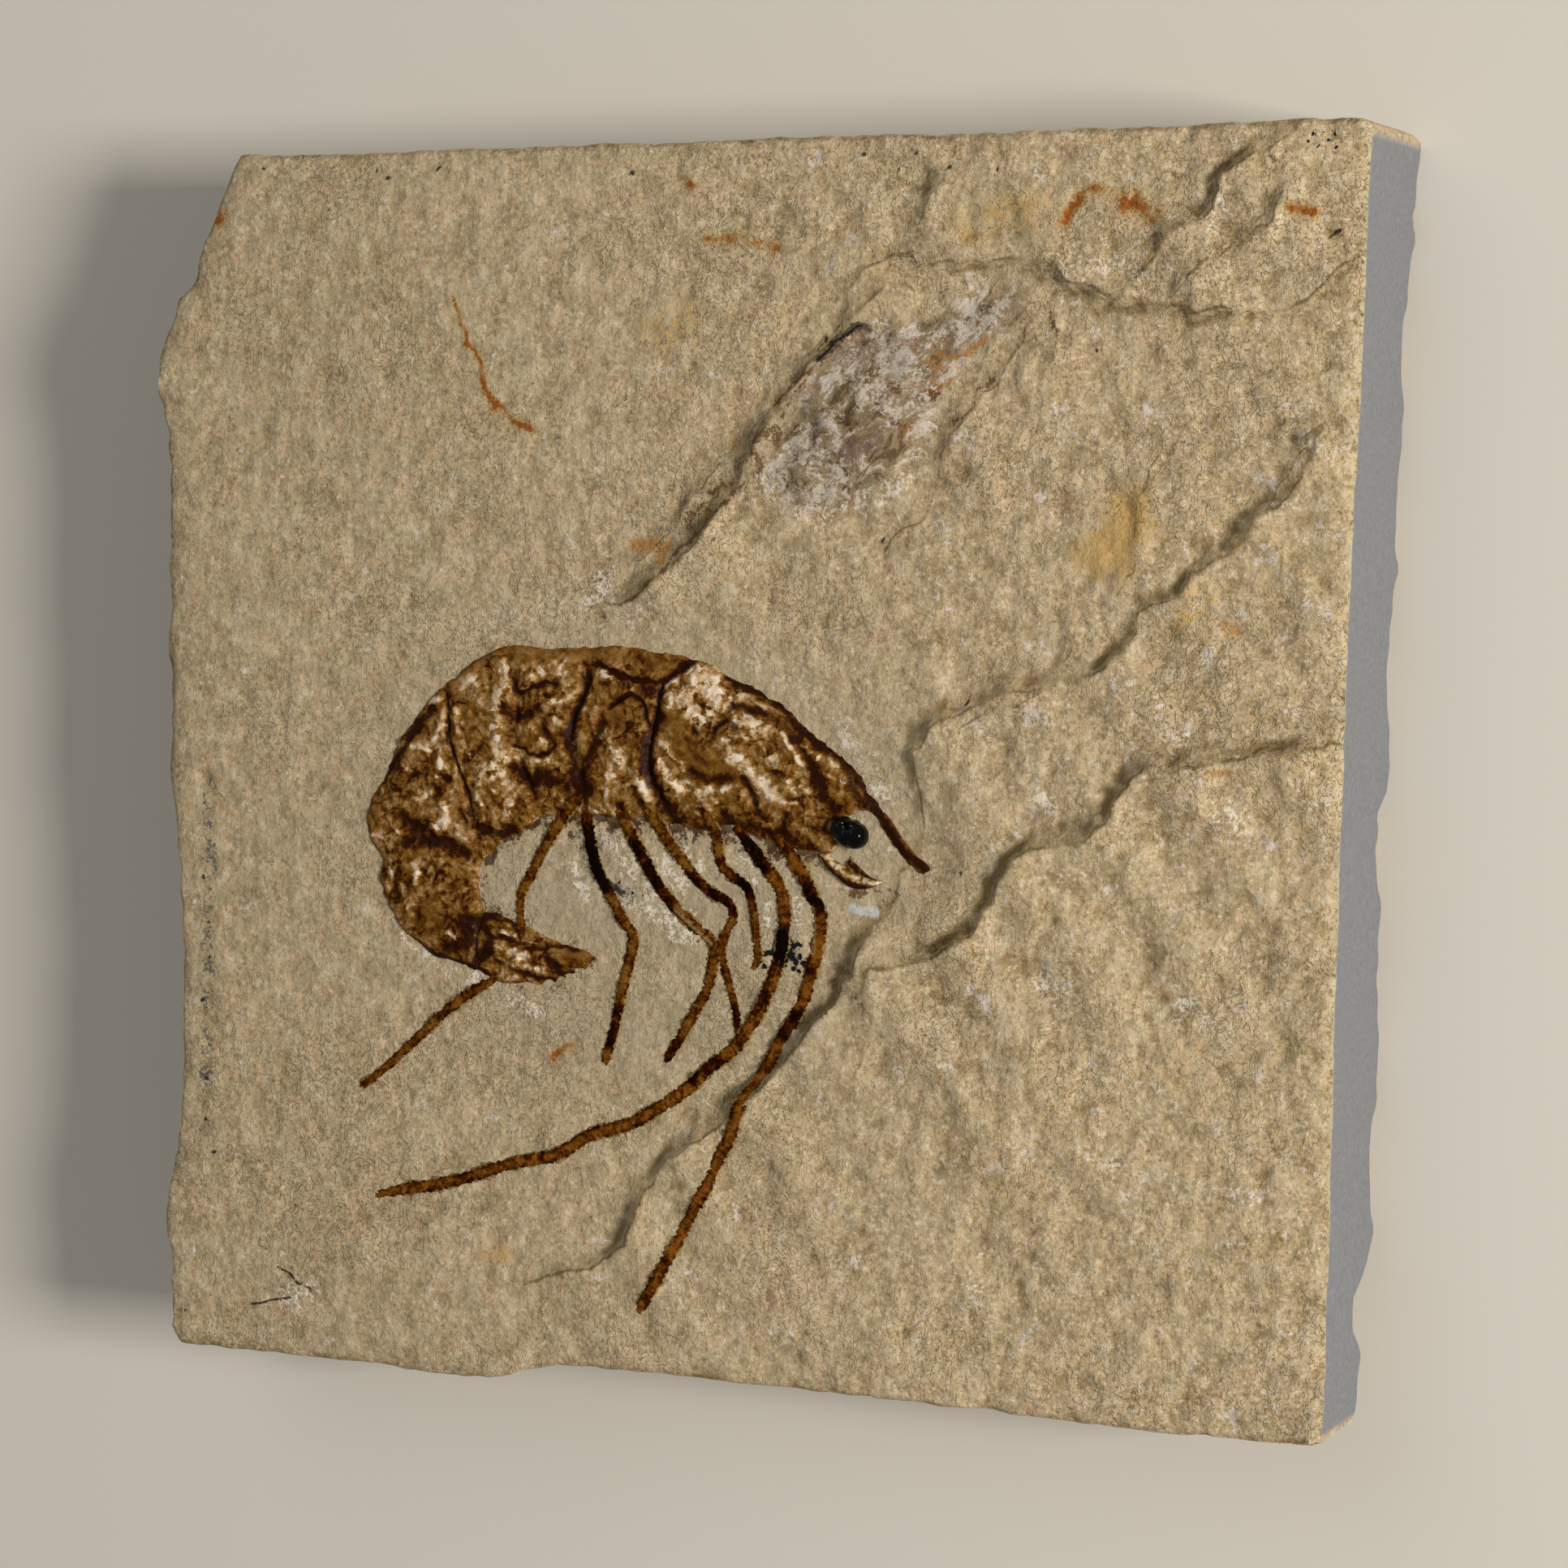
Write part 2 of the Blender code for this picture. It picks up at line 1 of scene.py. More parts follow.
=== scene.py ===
import bmesh
import bpy
import numpy as np
from mathutils import Matrix, Vector, noise
from mathutils.bvhtree import BVHTree
from mathutils.geometry import delaunay_2d_cdt


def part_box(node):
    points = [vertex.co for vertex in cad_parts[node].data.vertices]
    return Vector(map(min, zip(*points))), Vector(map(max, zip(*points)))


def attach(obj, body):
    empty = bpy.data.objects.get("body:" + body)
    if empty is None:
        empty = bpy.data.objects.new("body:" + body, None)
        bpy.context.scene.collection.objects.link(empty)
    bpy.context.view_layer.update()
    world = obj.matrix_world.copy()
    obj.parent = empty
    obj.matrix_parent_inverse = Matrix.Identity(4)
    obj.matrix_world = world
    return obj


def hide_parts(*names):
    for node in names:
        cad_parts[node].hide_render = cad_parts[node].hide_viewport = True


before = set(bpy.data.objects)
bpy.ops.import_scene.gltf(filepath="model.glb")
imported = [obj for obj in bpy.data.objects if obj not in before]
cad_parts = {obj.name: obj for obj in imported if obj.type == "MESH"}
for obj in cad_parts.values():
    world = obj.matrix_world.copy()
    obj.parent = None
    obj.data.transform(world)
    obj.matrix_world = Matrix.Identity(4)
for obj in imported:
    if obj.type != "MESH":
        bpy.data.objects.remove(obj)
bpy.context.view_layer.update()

# Limestone slab
# One flat piece of pale, fine-grained limestone, split along its bedding so that the fossil shows. Its right
# side is sawn, the other three sides are broken, and flakes have come off the back. Lengths are in
# millimetres; x runs right and y up the face as they were measured, from the middle of the fossil's bed.

MM = 0.001
MIDDLE = (-0.15, -0.25)                           # the slab's own middle, which is the frame's origin
SHELL_GAP = 0.3                                   # room that the solids keep between shell and stone
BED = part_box("carapace")[0].z / MM - SHELL_GAP    # height of the flat bed round the shrimp
SLAB_LOW, SLAB_HIGH = (np.array(corner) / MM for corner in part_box("slab"))

# The four edges of the face, each from left to right or from bottom to top
BOTTOM_EDGE = [
    (-49.8, -47.9), (-48.8, -49.3), (-44, -49.4), (-30, -49.5), (-26, -49.8), (-20.2, -49.9), (-17, -48.8),
    (-14.3, -48.3), (-6.3, -48.1), (-2.3, -48.2), (8, -48.4), (14.9, -48.4), (24.9, -48.8), (34.8, -49.0),
    (44.7, -49.0), (48.3, -48.9), (49.0, -48.5),
]
SAWN_EDGE = [(49.0, -48.5), (49.1, -47.0), (49.5, -14), (49.9, 10), (50.9, 48.6)]
TOP_EDGE = [
    (-43.6, 48.4), (-30, 48.5), (-20, 48.6), (-5, 48.8), (4, 48.9), (20, 48.9), (33, 49.1), (40, 49.2),
    (46, 49.4), (49.5, 49.4), (50.9, 48.6),
]
LEFT_EDGE = [
    (-49.8, -47.9), (-49.9, -45.7), (-49.7, -42.9), (-50.15, -40.1), (-49.9, -37.0), (-49.3, -33.8),
    (-48.75, -31), (-48.75, -25.4), (-48.7, -19), (-48.9, -13.9), (-49.0, -9.9), (-50.1, -2.4), (-50.2, 10.3),
    (-50.1, 16.2), (-50.3, 19), (-50.1, 23.4), (-50.6, 26.6), (-51.1, 28.9), (-51.2, 32.1), (-50.8, 33.7),
    (-50.0, 35.3), (-49.4, 37.1), (-48.0, 38.5), (-47.2, 40.5), (-46.05, 43.65), (-45.3, 45.6), (-44.3, 47.6),
    (-43.6, 48.4),
]

# Ledges of the face: rise, width of the slope, reach of the high side, and a line with that side to its right
FACE_LEDGES = [
    (0.79, 1.2, 14, [(-17, -42), (-15, -41), (-10.5, -39.7), (-7.5, -37), (-7, -35), (-5, -32), (0, -28),
        (3, -25.5), (6, -22), (8.5, -19), (11, -15.5), (12.5, -12), (14.5, -9), (15, -7.5), (16.5, -5),
        (16.5, -1), (16, 1.5), (17.5, 3.5), (20, 5.2), (22.5, 6.2), (24, 7), (26, 6.8), (27.5, 7.4),
        (29.5, 8), (31.3, 8.4), (32, 9.5), (33.5, 11), (34, 12.5), (35, 13.5), (37, 14), (38, 15.5),
        (39.5, 16.8), (40.3, 17), (42.5, 19), (43.5, 20.3), (44.5, 21), (48, 27)]),
    (0.83, 1.2, 11, [(11.5, -17.5), (13, -15.3), (16, -14.3), (19, -13.2), (21, -11.8), (22.5, -9.5),
        (24, -6.8), (25.3, -5.3), (28, -4.7), (29.8, -4.6), (31.5, -2.8), (33.5, -0.2), (35, 1.3),
        (37, 1.2), (39, 1.6), (42, 2.2), (45, 2.6), (47.5, 3.2), (56, 4.5)]),
    (0.44, 1.6, 9, [(11, -25.5), (12, -21.5), (12.3, -19.5), (12, -17), (13.2, -15)]),
    (0.3, 1, 6, [(31.5, 12.5), (32, 14.5), (33.3, 16), (33.7, 19), (34, 22), (35.5, 26)]),
    (0.27, 1, 5, [(44.8, 14.5), (45, 17), (44, 19), (43.8, 21), (46, 24.5), (47.5, 26.5), (48.5, 29)]),
    (0.27, 0.8, 4, [(47.6, 22.6), (47.4, 24.2), (46.8, 25.6), (48.3, 28)]),
    (0.71, 1.3, 8, [(-12, 13), (-10.5, 12.5), (-8.5, 13), (-6, 14.5), (-3, 17), (0, 20.5), (2.5, 25),
        (5, 29), (8, 32.5), (10, 34.5), (12.5, 37.5)]),
    (0.3, 1.2, 6, [(-13, 13.5), (-10.5, 15), (-5, 18), (-3, 21), (1, 25), (4, 29), (10, 36)]),
    (0.39, 1.6, 7, [(13, 17), (15, 19), (18, 22), (18.3, 25), (19.5, 27.3), (21, 29), (22.5, 30.5),
        (25, 35)]), (0.22, 0.8, 4, [(25.6, 29.5), (26.6, 31.5), (26.8, 33.4), (26.4, 35.4)]),
    (0.57, 0.9, 8, [(56, 46), (50, 39), (48.5, 38), (47, 36.5), (45, 35.4), (42, 35.3), (38, 35.5),
        (34, 36), (32, 36.3), (30, 37), (28, 37.8), (26, 39), (23, 39.3), (20, 39.3), (17, 39), (13, 40)]),
    (0.44, 1.2, 6, [(8, 35.2), (9, 36.5), (11, 38), (13, 39.8), (15, 40)]),
    (0.61, 1.4, 6, [(31, 35.5), (32, 36.8), (34, 38.5), (35, 40.5), (37, 41.5), (39, 42.5), (39.5, 44.5),
        (41, 46), (43, 47), (48, 52)]),
    (0.39, 1.2, 5, [(37, 38), (38.5, 39), (41, 40), (43, 41.5), (44.5, 43.5), (44, 46), (43, 47.5)]),
    (0.22, 1, 5, [(34, 36), (36, 36.3), (37, 37), (38.5, 38.8)]),
    (0.22, 0.9, 5, [(15, 40), (16, 43), (17.5, 45.5), (18.5, 48)]),
    (0.17, 0.8, 3, [(19, 3), (20, 4), (24, 5.5), (27, 7)]),
    (0.22, 0.8, 3, [(27, 7.6), (27.5, 8.5), (28.5, 10), (30.5, 11)]),
    (0.22, 0.8, 4, [(26, -8), (26.2, -9.5), (26, -11.5), (24.8, -13.5), (23.3, -16)]),
    (0.22, 0.8, 3, [(36.2, 18.5), (36.6, 20), (37.5, 22)]),
    (0.27, 1.3, 10, [(-41, -38.9), (-31, -38.5), (-24, -37.3), (-18, -35)]),
    (0.22, 1.2, 5, [(-14, -31), (-7, -29.8), (0, -26.3)]),
]
LEDGE_FADE = 9.0       # length over which a ledge starts and ends
LEDGE_LIP = 0.14       # a ledge's worn rim stands a little proud

BULGE_OUTLINE = [
    (3, 23), (5, 27), (9, 33.5), (17, 35.5), (23, 37.5), (24.5, 36.5), (19.5, 31.5), (17, 27.5), (15, 23.5),
    (12, 21), (8, 19.8), (5, 20.3), (3, 23),
]
BULGE_RISE = 0.6
BULGE_SHOULDER = 4.0
FACE_TILT = 0.4        # how much higher the right of the face lies than the bed
RIM_WEAR = 0.2         # how far the face drops at the worn sawn edge, and how wide that is
RIM_WEAR_WIDTH = 1.2
RIM_CHIPS = 0.5        # how far the broken edges are rounded off

# The animal's outline, clockwise, which the flat bed follows
BODY_OUTLINE = [
    (-23.4, -16.3), (-26.7, -15.0), (-29.9, -11.1), (-30.2, -8.6), (-31.4, -4.2), (-28.7, 1.2), (-24.9, 5.7),
    (-19.2, 9.2), (-8.5, 9.5), (-4.5, 9.0), (0, 7.4), (6.3, 4.0), (11.7, -0.5), (17.1, -6.9), (14.4, -8.2),
    (12.4, -9.6), (8.6, -8.6), (5.9, -6.1), (-1.8, -4.7), (-15.9, -4.4), (-19.9, -7.3), (-21, -9.2),
    (-19.5, -12.0), (-10.7, -15.4), (-13.6, -17.4), (-19.4, -17.7), (-23.4, -16.3),
]

# Flakes lost from the back: depth, width of the slope, reach, and a line with the scar to its right
BACK_LEDGES = [
    (1.8, 1.0, 90, [(45, -12), (44, 6), (45.5, 20), (44.5, 32), (46.5, 41), (52, 43), (60, 44)]),
    (1.9, 1.2, 90, [(37, -60), (38.5, -40), (41, -25), (40, -12), (44, -3), (52, -1), (60, 0)]),
    (3.9, 3.6, 90, [(24, -60), (30, -47), (39, -40.5), (52, -38.5), (60, -38)]),
    (2.6, 1.6, 90, [(-44, 26), (-45.5, 14), (-43.5, 2), (-45.5, -12), (-44.5, -27)]),
    (2.2, 1.7, 90, [(-41, -45.5), (-26, -43), (-9, -45), (8, -43.5), (20, -46)]),
    (2.4, 1.4, 90, [(30, 45.5), (14, 43.5), (-4, 45.5), (-22, 43.5), (-37, 45.5)]),
]

FACE_CELLS = 280       # squares of the face's mesh along each edge; a wall has half as many, the back a quarter
WALL_LEVELS = [
    0.025, 0.06, 0.11, 0.17, 0.24, 0.31, 0.38, 0.45, 0.52, 0.59, 0.66, 0.73, 0.8, 0.86, 0.92, 0.97, 1,
]


def curve(points, spacing):
    """Points about spacing apart on a smooth curve through the given ones."""
    knots = np.array(points, float)
    chord = np.linalg.norm(np.diff(knots, axis=0), axis=1)
    slope = np.diff(knots, axis=0) / chord[:, None]
    weight = (chord[1:] + chord[:-1])[:, None]
    middle = (slope[1:] * chord[:-1, None] + slope[:-1] * chord[1:, None]) / weight
    tangent = np.vstack([slope[:1], middle, slope[-1:]])
    pieces = []
    for i, length in enumerate(chord):
        t = np.linspace(0, 1, max(1, round(length / spacing)), endpoint=False)[:, None]
        path = knots[i] * (1 - 3 * t**2 + 2 * t**3) + knots[i + 1] * (3 * t**2 - 2 * t**3)
        bend = tangent[i] * (t - 2 * t**2 + t**3) + tangent[i + 1] * (t**3 - t**2)
        pieces.append(path + bend * length)
    return np.vstack(pieces + [knots[-1:]])


def evenly(line, count):
    """A line's points moved to equal steps along it, both ends kept."""
    line = np.array(line, float)
    along = np.concatenate([[0], np.cumsum(np.linalg.norm(np.diff(line, axis=0), axis=1))])
    stops = np.linspace(0, along[-1], count + 1)
    return np.stack([np.interp(stops, along, line[:, k]) for k in range(line.shape[1])], 1)


def soft_step(t):
    """0 below 0, 1 above 1 and a smooth rise between."""
    t = np.clip(t, 0, 1)
    return t * t * (3 - 2 * t)


def nearest(spots, line):
    """For each spot its distance from a line, plus to the line's right, how far along that is, and the way."""
    run = np.diff(line, axis=0)
    length = np.linalg.norm(run, axis=1)
    start = np.concatenate([[0], np.cumsum(length)[:-1]])
    ahead = run / length[:, None]
    at_start, at_end = ahead.copy(), ahead.copy()
    at_start[1:] += ahead[:-1]
    at_end[:-1] += ahead[1:]
    found = []
    for block in np.array_split(spots, 1 + len(spots) // 4000):
        away = block[:, None] - line[None, :-1]
        t = np.clip((away * run).sum(2) / length**2, 0, 1)
        off = away - t[:, :, None] * run
        best = (off**2).sum(2).argmin(1)
        row = np.arange(len(block))
        off, t = off[row, best], t[row, best]
        way = np.where(t[:, None] == 0, at_start[best], np.where(t[:, None] == 1, at_end[best], ahead[best]))
        side = np.where(way[:, 1] * off[:, 0] - way[:, 0] * off[:, 1] < 0, -1.0, 1.0)
        found.append(np.column_stack([np.hypot(*off.T) * side, start[best] + t * length[best], off]))
    return np.vstack(found).T


def lumps(points, size, seed):
    """Smooth noise between about -1 and 1 with lumps of the given size."""
    shift = Vector((0, 0, seed))
    return np.array([noise.noise(Vector(point).to_3d() / size + shift) for point in points])


def brushed(spots, strokes):
    """How much of a soft mark each spot has, from 0 to 1. A stroke is a half width, a strength and a line."""
    amount = np.zeros(len(spots))
    for half_width, strength, points in strokes:
        distance = nearest(spots, curve(points, 0.6))[0]
        amount = np.maximum(amount, strength * np.exp(-((distance / half_width) ** 2)))
    return amount


def ledge_height(spots, rise, slope, reach, points):
    """A ledge: right of its line the rock stands higher by rise, and sinks back over reach."""
    line = curve(points, 1.0)
    right = nearest(spots, line)[0]
    inward = max(1, round(min(LEDGE_FADE, len(line) / 2.5)))
    ends = 1.0
    for tip, inner in ((line[0], line[inward]), (line[-1], line[-1 - inward])):
        ends = ends * soft_step((spots - tip) @ (inner - tip) / ((inner - tip) ** 2).sum())
    x, y = spots.T
    uneven = 1 + 0.3 * np.sin(0.7 * x + 0.5 * y) + 0.25 * np.sin(0.31 * y - 0.2 * x + 2)
    slope = slope * (1.15 + 0.4 * np.sin(0.83 * x - 0.5 * y + 1) + 0.35 * np.sin(0.37 * x + 0.61 * y))
    lip = 1 + LEDGE_LIP * np.exp(-((right / slope) ** 2))
    foot = np.clip(right / slope + 1, 0, 1) ** 1.8
    return rise * uneven * ends * foot * lip * np.exp(-np.maximum(right, 0) / reach)


def terraces(field, riser):
    """Turns smooth swells into flat steps with short risers, as thin layers that broke away one by one."""
    whole = np.floor(field)
    return whole + soft_step((field - whole - 0.5) / riser + 0.5)


def wander(spots):
    """The spots moved a little, so that the ledges and the marks found with them run unevenly."""
    moved = spots + 0.5 * np.stack([lumps(spots, 1.7, 11.0), lumps(spots, 1.7, 12.0)], 1)
    return moved + 0.2 * np.stack([lumps(spots, 0.8, 46.0), lumps(spots, 0.8, 47.0)], 1)


def face_relief(spots):
    """Height of the split face over the bed, which is flat round the shrimp."""
    warped = wander(spots)
    height = sum(ledge_height(warped, *ledge) for ledge in FACE_LEDGES)
    on_bulge = soft_step(nearest(warped, curve(BULGE_OUTLINE, 1.0))[0] / BULGE_SHOULDER)
    folded = warped @ np.array([(0.5, 0.87), (-0.87, 0.5)]).T * (0.5, 1)
    crumple = 0.6 * lumps(spots, 2.6, 3.0) + 0.5 * lumps(spots, 1.0, 13.0)
    crumple -= 0.7 * np.abs(lumps(folded, 1.5, 51.0))
    height += on_bulge * BULGE_RISE * (1.15 + crumple)
    coarse = soft_step((spots[:, 0] + 12) / 30)
    height += (0.05 + 0.12 * coarse) * lumps(spots, 4.6, 1.0) + 0.25 * lumps(spots, 21.0, 2.0)
    height += FACE_TILT * soft_step((spots[:, 0] + 10) / 50)
    layers = 2.2 * lumps(spots, 9.0, 14.0) + 0.5 * lumps(spots, 2.5, 15.0)
    height += (0.04 + 0.1 * coarse) * terraces(layers, 0.35)
    height += (0.05 + 0.07 * coarse) * terraces(1.7 * lumps(warped, 2.6, 54.0), 0.25)
    sawn_y, sawn_x = np.array(SAWN_EDGE)[:, ::-1].T
    worn = 1 - (np.interp(spots[:, 1], sawn_y, sawn_x) - spots[:, 0]) / RIM_WEAR_WIDTH
    height -= RIM_WEAR * np.clip(worn, 0, 1) ** 2
    broken = np.array(TOP_EDGE[:0:-1] + LEFT_EDGE[:0:-1] + BOTTOM_EDGE)
    to_rim = np.abs(nearest(spots, broken)[0])
    height -= RIM_CHIPS * np.exp(-to_rim / 0.8) * (1 + lumps(spots, 4.0, 4.0)) * (worn < 0)
    off_body = -nearest(spots, np.array(BODY_OUTLINE, float))[0]
    height *= soft_step((off_body - 0.8) / 4.0)
    calm = 0.5 + 0.5 * soft_step((off_body - 1.0) / 9.0)
    tall = spots * (1, 0.9)
    grain = 0.09 * lumps(tall, 0.85, 16.0) + 0.1 * lumps(spots, 1.6, 17.0)
    grain -= 0.13 * np.abs(lumps(tall, 1.9, 48.0))
    return height + calm * (0.75 + 0.45 * coarse) * grain


def back_height(spots):
    """Height of the back over what the slab lies on: 0 except where flakes have come away."""
    warped = spots + 0.8 * np.stack([lumps(spots, 3.5, 18.0), lumps(spots, 3.5, 19.0)], 1)
    height = sum(ledge_height(warped, *ledge) for ledge in BACK_LEDGES)
    rough = 0.35 * lumps(spots, 4.0, 5.0) + 0.12 * lumps(spots, 1.6, 20.0)
    flat = 0.05 * (1 + lumps(spots, 2.2, 21.0))
    return np.where(height > 0.02, np.maximum(height + rough * soft_step(height), 0), 0) + flat


def fill(bottom, right, top, left):
    """A square grid of points between four edges, each given from left to right or from bottom to top."""
    u = np.linspace(0, 1, len(bottom))[None, :, None]
    v = np.linspace(0, 1, len(left))[:, None, None]
    upward = (1 - v) * bottom[None] + v * top[None]
    across = (1 - u) * left[:, None] + u * right[:, None]
    corners = (1 - v) * ((1 - u) * bottom[0] + u * bottom[-1]) + v * ((1 - u) * top[0] + u * top[-1])
    return (upward + across - corners).reshape(-1, bottom.shape[1])


def grid_rim(cells):
    """Numbers of a square grid's edge points, anticlockwise from the first corner."""
    row, step = cells + 1, np.arange(cells)
    return np.concatenate([step, cells + row * step, row * row - 1 - step, row * (cells - step)])


def grid_faces(cells):
    """The squares of a grid."""
    row = cells + 1
    first = (np.arange(cells)[:, None] * row + np.arange(cells)).ravel()
    return np.stack([first, first + 1, first + row + 1, first + row], 1).tolist()


def zip_faces(fine, coarse):
    """Triangles between a ring of points and one with half as many."""
    faces = []
    for i, here in enumerate(coarse):
        there = coarse[(i + 1) % len(coarse)]
        a, b, c = fine[2 * i], fine[2 * i + 1], fine[(2 * i + 2) % len(fine)]
        faces += [(a, b, here), (b, there, here), (b, c, there)]
    return faces


def smoothed(field, rounds):
    """A square field whose values are evened out with their neighbours'."""
    for _ in range(rounds):
        wide = np.pad(field, 1, mode="edge")
        around = wide[:-2, 1:-1] + wide[2:, 1:-1] + wide[1:-1, :-2] + wide[1:-1, 2:]
        field = (around + 4 * field) / 8
    return field


def new_piece(name, corners, faces):
    """An object from corners in millimetres on the face, moved into the frame, its faces turned outwards."""
    mesh = bpy.data.meshes.new(name)
    placed = (np.array(corners) - (*MIDDLE, 0)) * MM
    mesh.from_pydata(placed.tolist(), [], faces)
    shape = bmesh.new()
    shape.from_mesh(mesh)
    bmesh.ops.recalc_face_normals(shape, faces=shape.faces)
    shape.to_mesh(mesh)
    shape.free()
    mesh.shade_smooth()
    piece = bpy.data.objects.new(name, mesh)
    bpy.context.scene.collection.objects.link(piece)
    return piece


def mark(piece, name, values):
    """Stores a number, or a vector of three, at every corner of a piece for its material to read."""
    kind, field = ("FLOAT_VECTOR", "vector") if values.ndim == 2 else ("FLOAT", "value")
    piece.data.attributes.new(name, kind, "POINT").data.foreach_set(field, values.astype(np.float32).ravel())


def build_slab():
    """The slab's corners and faces, how many corners the face has, and which lie on the sawn side."""
    edges = [evenly(line, FACE_CELLS) for line in (BOTTOM_EDGE, SAWN_EDGE, TOP_EDGE, LEFT_EDGE)]
    loop = np.vstack([edges[0][:-1], edges[1][:-1], edges[2][:0:-1], edges[3][:0:-1]])
    ahead = np.roll(loop, -4, axis=0) - np.roll(loop, 4, axis=0)
    outward = np.stack([ahead[:, 1], -ahead[:, 0]], 1) / np.linalg.norm(ahead, axis=1)[:, None]
    sawn = np.zeros(4 * FACE_CELLS)
    sawn[FACE_CELLS + 1:2 * FACE_CELLS] = 1
    top_or_bottom = np.abs(outward[:, 1]) > 0.8
    ragged = (0.3 * lumps(loop, 1.5, 22.0) + 0.25 * lumps(loop, 4.0, 23.0)) * np.where(top_or_bottom, 0.6, 1)
    chip = 0.22 + 0.3 * np.maximum(lumps(loop, 2.2, 24.0), 0)
    outer = loop + outward * (ragged * (1 - sawn))[:, None]
    face_loop = outer - outward * np.where(sawn > 0, 0.05, chip)[:, None]
    n = FACE_CELLS
    closed = np.vstack([face_loop, face_loop[:1]])
    face = fill(closed[:n + 1], closed[n:2 * n + 1], closed[2 * n:3 * n + 1][::-1], closed[3 * n:][::-1])
    height = BED + face_relief(face)
    corners = [np.column_stack([face, height])]
    rim = grid_rim(n)
    rim_height = height[rim][::2]
    outer, outward, sawn = outer[::2], outward[::2], sawn[::2]
    low = back_height(outer)
    rings = []
    for level in WALL_LEVELS:
        z = rim_height + (low - rim_height) * level
        z = z + (0.3 * lumps(np.column_stack([outer, z]), 6.0, 25.0) if 0 < level < 1 else 0)
        at = np.column_stack([outer, z])
        hollow = 1.5 * (0.5 + 0.5 * lumps(at, 5.5, 26.0))
        hollow += 0.5 * np.maximum(lumps(at * (1, 1, 2), 2.2, 27.0), 0)
        laminae = 0.16 * lumps(at * (0.12, 0.12, 1.3), 1.0, 28.0)
        sunk = (hollow + laminae) * soft_step(level / 0.35) * (1 - sawn) * soft_step((50 - outer[:, 0]) / 5)
        back_chip = 0.5 * soft_step((level - 0.94) / 0.06) * (0.6 + lumps(outer, 2.5, 29.0))
        worn = back_chip + 0.1 * soft_step((0.04 - level) / 0.03)
        rings.append(np.column_stack([outer - outward * (sunk + worn)[:, None], z]))
    back_cells = n // 4
    last = rings[-1][::2, :2]
    closed = np.vstack([last, last[:1]])
    k = back_cells
    back = fill(closed[:k + 1], closed[k:2 * k + 1], closed[2 * k:3 * k + 1][::-1], closed[3 * k:][::-1])
    corners += rings + [np.column_stack([back, back_height(back)])]
    faces = grid_faces(n)
    start = len(face)
    count = len(outer)
    faces += zip_faces(rim, np.arange(start, start + count))
    for _ in rings[1:]:
        here, step = np.arange(start, start + count), np.roll(np.arange(start, start + count), -1)
        faces += np.stack([here, step, step + count, here + count], 1).tolist()
        start += count
    faces += [face[::-1] for face in zip_faces(np.arange(start, start + count), start + count + grid_rim(k))]
    faces += [[start + count + i for i in square[::-1]] for square in grid_faces(k)]
    corners = np.vstack(corners)
    margin = 0.01
    shift = (*MIDDLE, 0)
    corners = np.clip(corners, SLAB_LOW + shift + (margin, margin, 0), SLAB_HIGH + shift - margin)
    on_sawn = np.concatenate([np.zeros(len(face)), np.tile(sawn, len(rings)), np.zeros(len(back))])
    # How far each corner of the face lies below its smoothed neighbours, darkened with dirt and painted shade
    hollow = smoothed(height.reshape(n + 1, n + 1), 10) - height.reshape(n + 1, n + 1)
    hollow = np.concatenate([hollow.ravel(), np.zeros(len(corners) - len(face))])
    return corners, faces, len(face), on_sawn, hollow


slab_corners, slab_faces, face_count, on_sawn, hollow = build_slab()
slab = new_piece("limestone_slab", slab_corners, slab_faces)
slab.data.set_sharp_from_angle(angle=np.radians(62))

# Crisp marks on the stone: rust streaks and black strokes, each with its half width and its line
RUST = [
    (0.17, [(-23.9, 36.9), (-23.2, 34.9), (-22.6, 33.2), (-22, 32.5), (-21, 30.1), (-19.8, 28),
        (-17.4, 26.3)]), (0.26, [(-22.8, 33.1), (-22.4, 32.9)]),
    (0.24, [(-21.4, 30.6), (-20.9, 29.3), (-20.3, 28)]), (0.3, [(-17.7, 26.5), (-17.2, 26.3)]),
    (0.3, [(-1.8, 41.3), (1.1, 40.9), (3.9, 40.5)]), (0.6, [(32.1, 43.5), (33.3, 43.1)]),
    (0.45, [(33.3, 43.1), (34.5, 42.3)]), (0.3, [(27.4, 42), (28.6, 44), (30.2, 44.4)]),
    (0.35, [(45.5, 42.7), (46.6, 42.3)]), (0.5, [(-45.7, 43.6), (-45.4, 43.3)]),
    (0.26, [(-14.6, -23.3), (-13.4, -22.6), (-11.5, -22.2)]),
    (0.22, [(-13.6, -22.9), (-12.4, -22.1), (-11.3, -21.9)]), (0.3, [(-3.6, 45.4), (-3.2, 45.2)]),
]
INK = [
    (0.13, [(7.7, 31.7), (8.5, 32.6)]), (0.09, [(8.5, 32.6), (10, 33.9), (11.4, 34.2)]),
    (0.25, [(-10.6, -8.6), (-9.8, -9.5)]), (0.15, [(-9.9, -9.1), (-9.1, -9.7), (-8.6, -10.0)]),
    (0.1, [(-41.5, -40.2), (-40.3, -40.8)]), (0.1, [(-39.2, -42), (-36.5, -44)]),
    (0.1, [(-42, -45.3), (-38, -44.5)]),
]
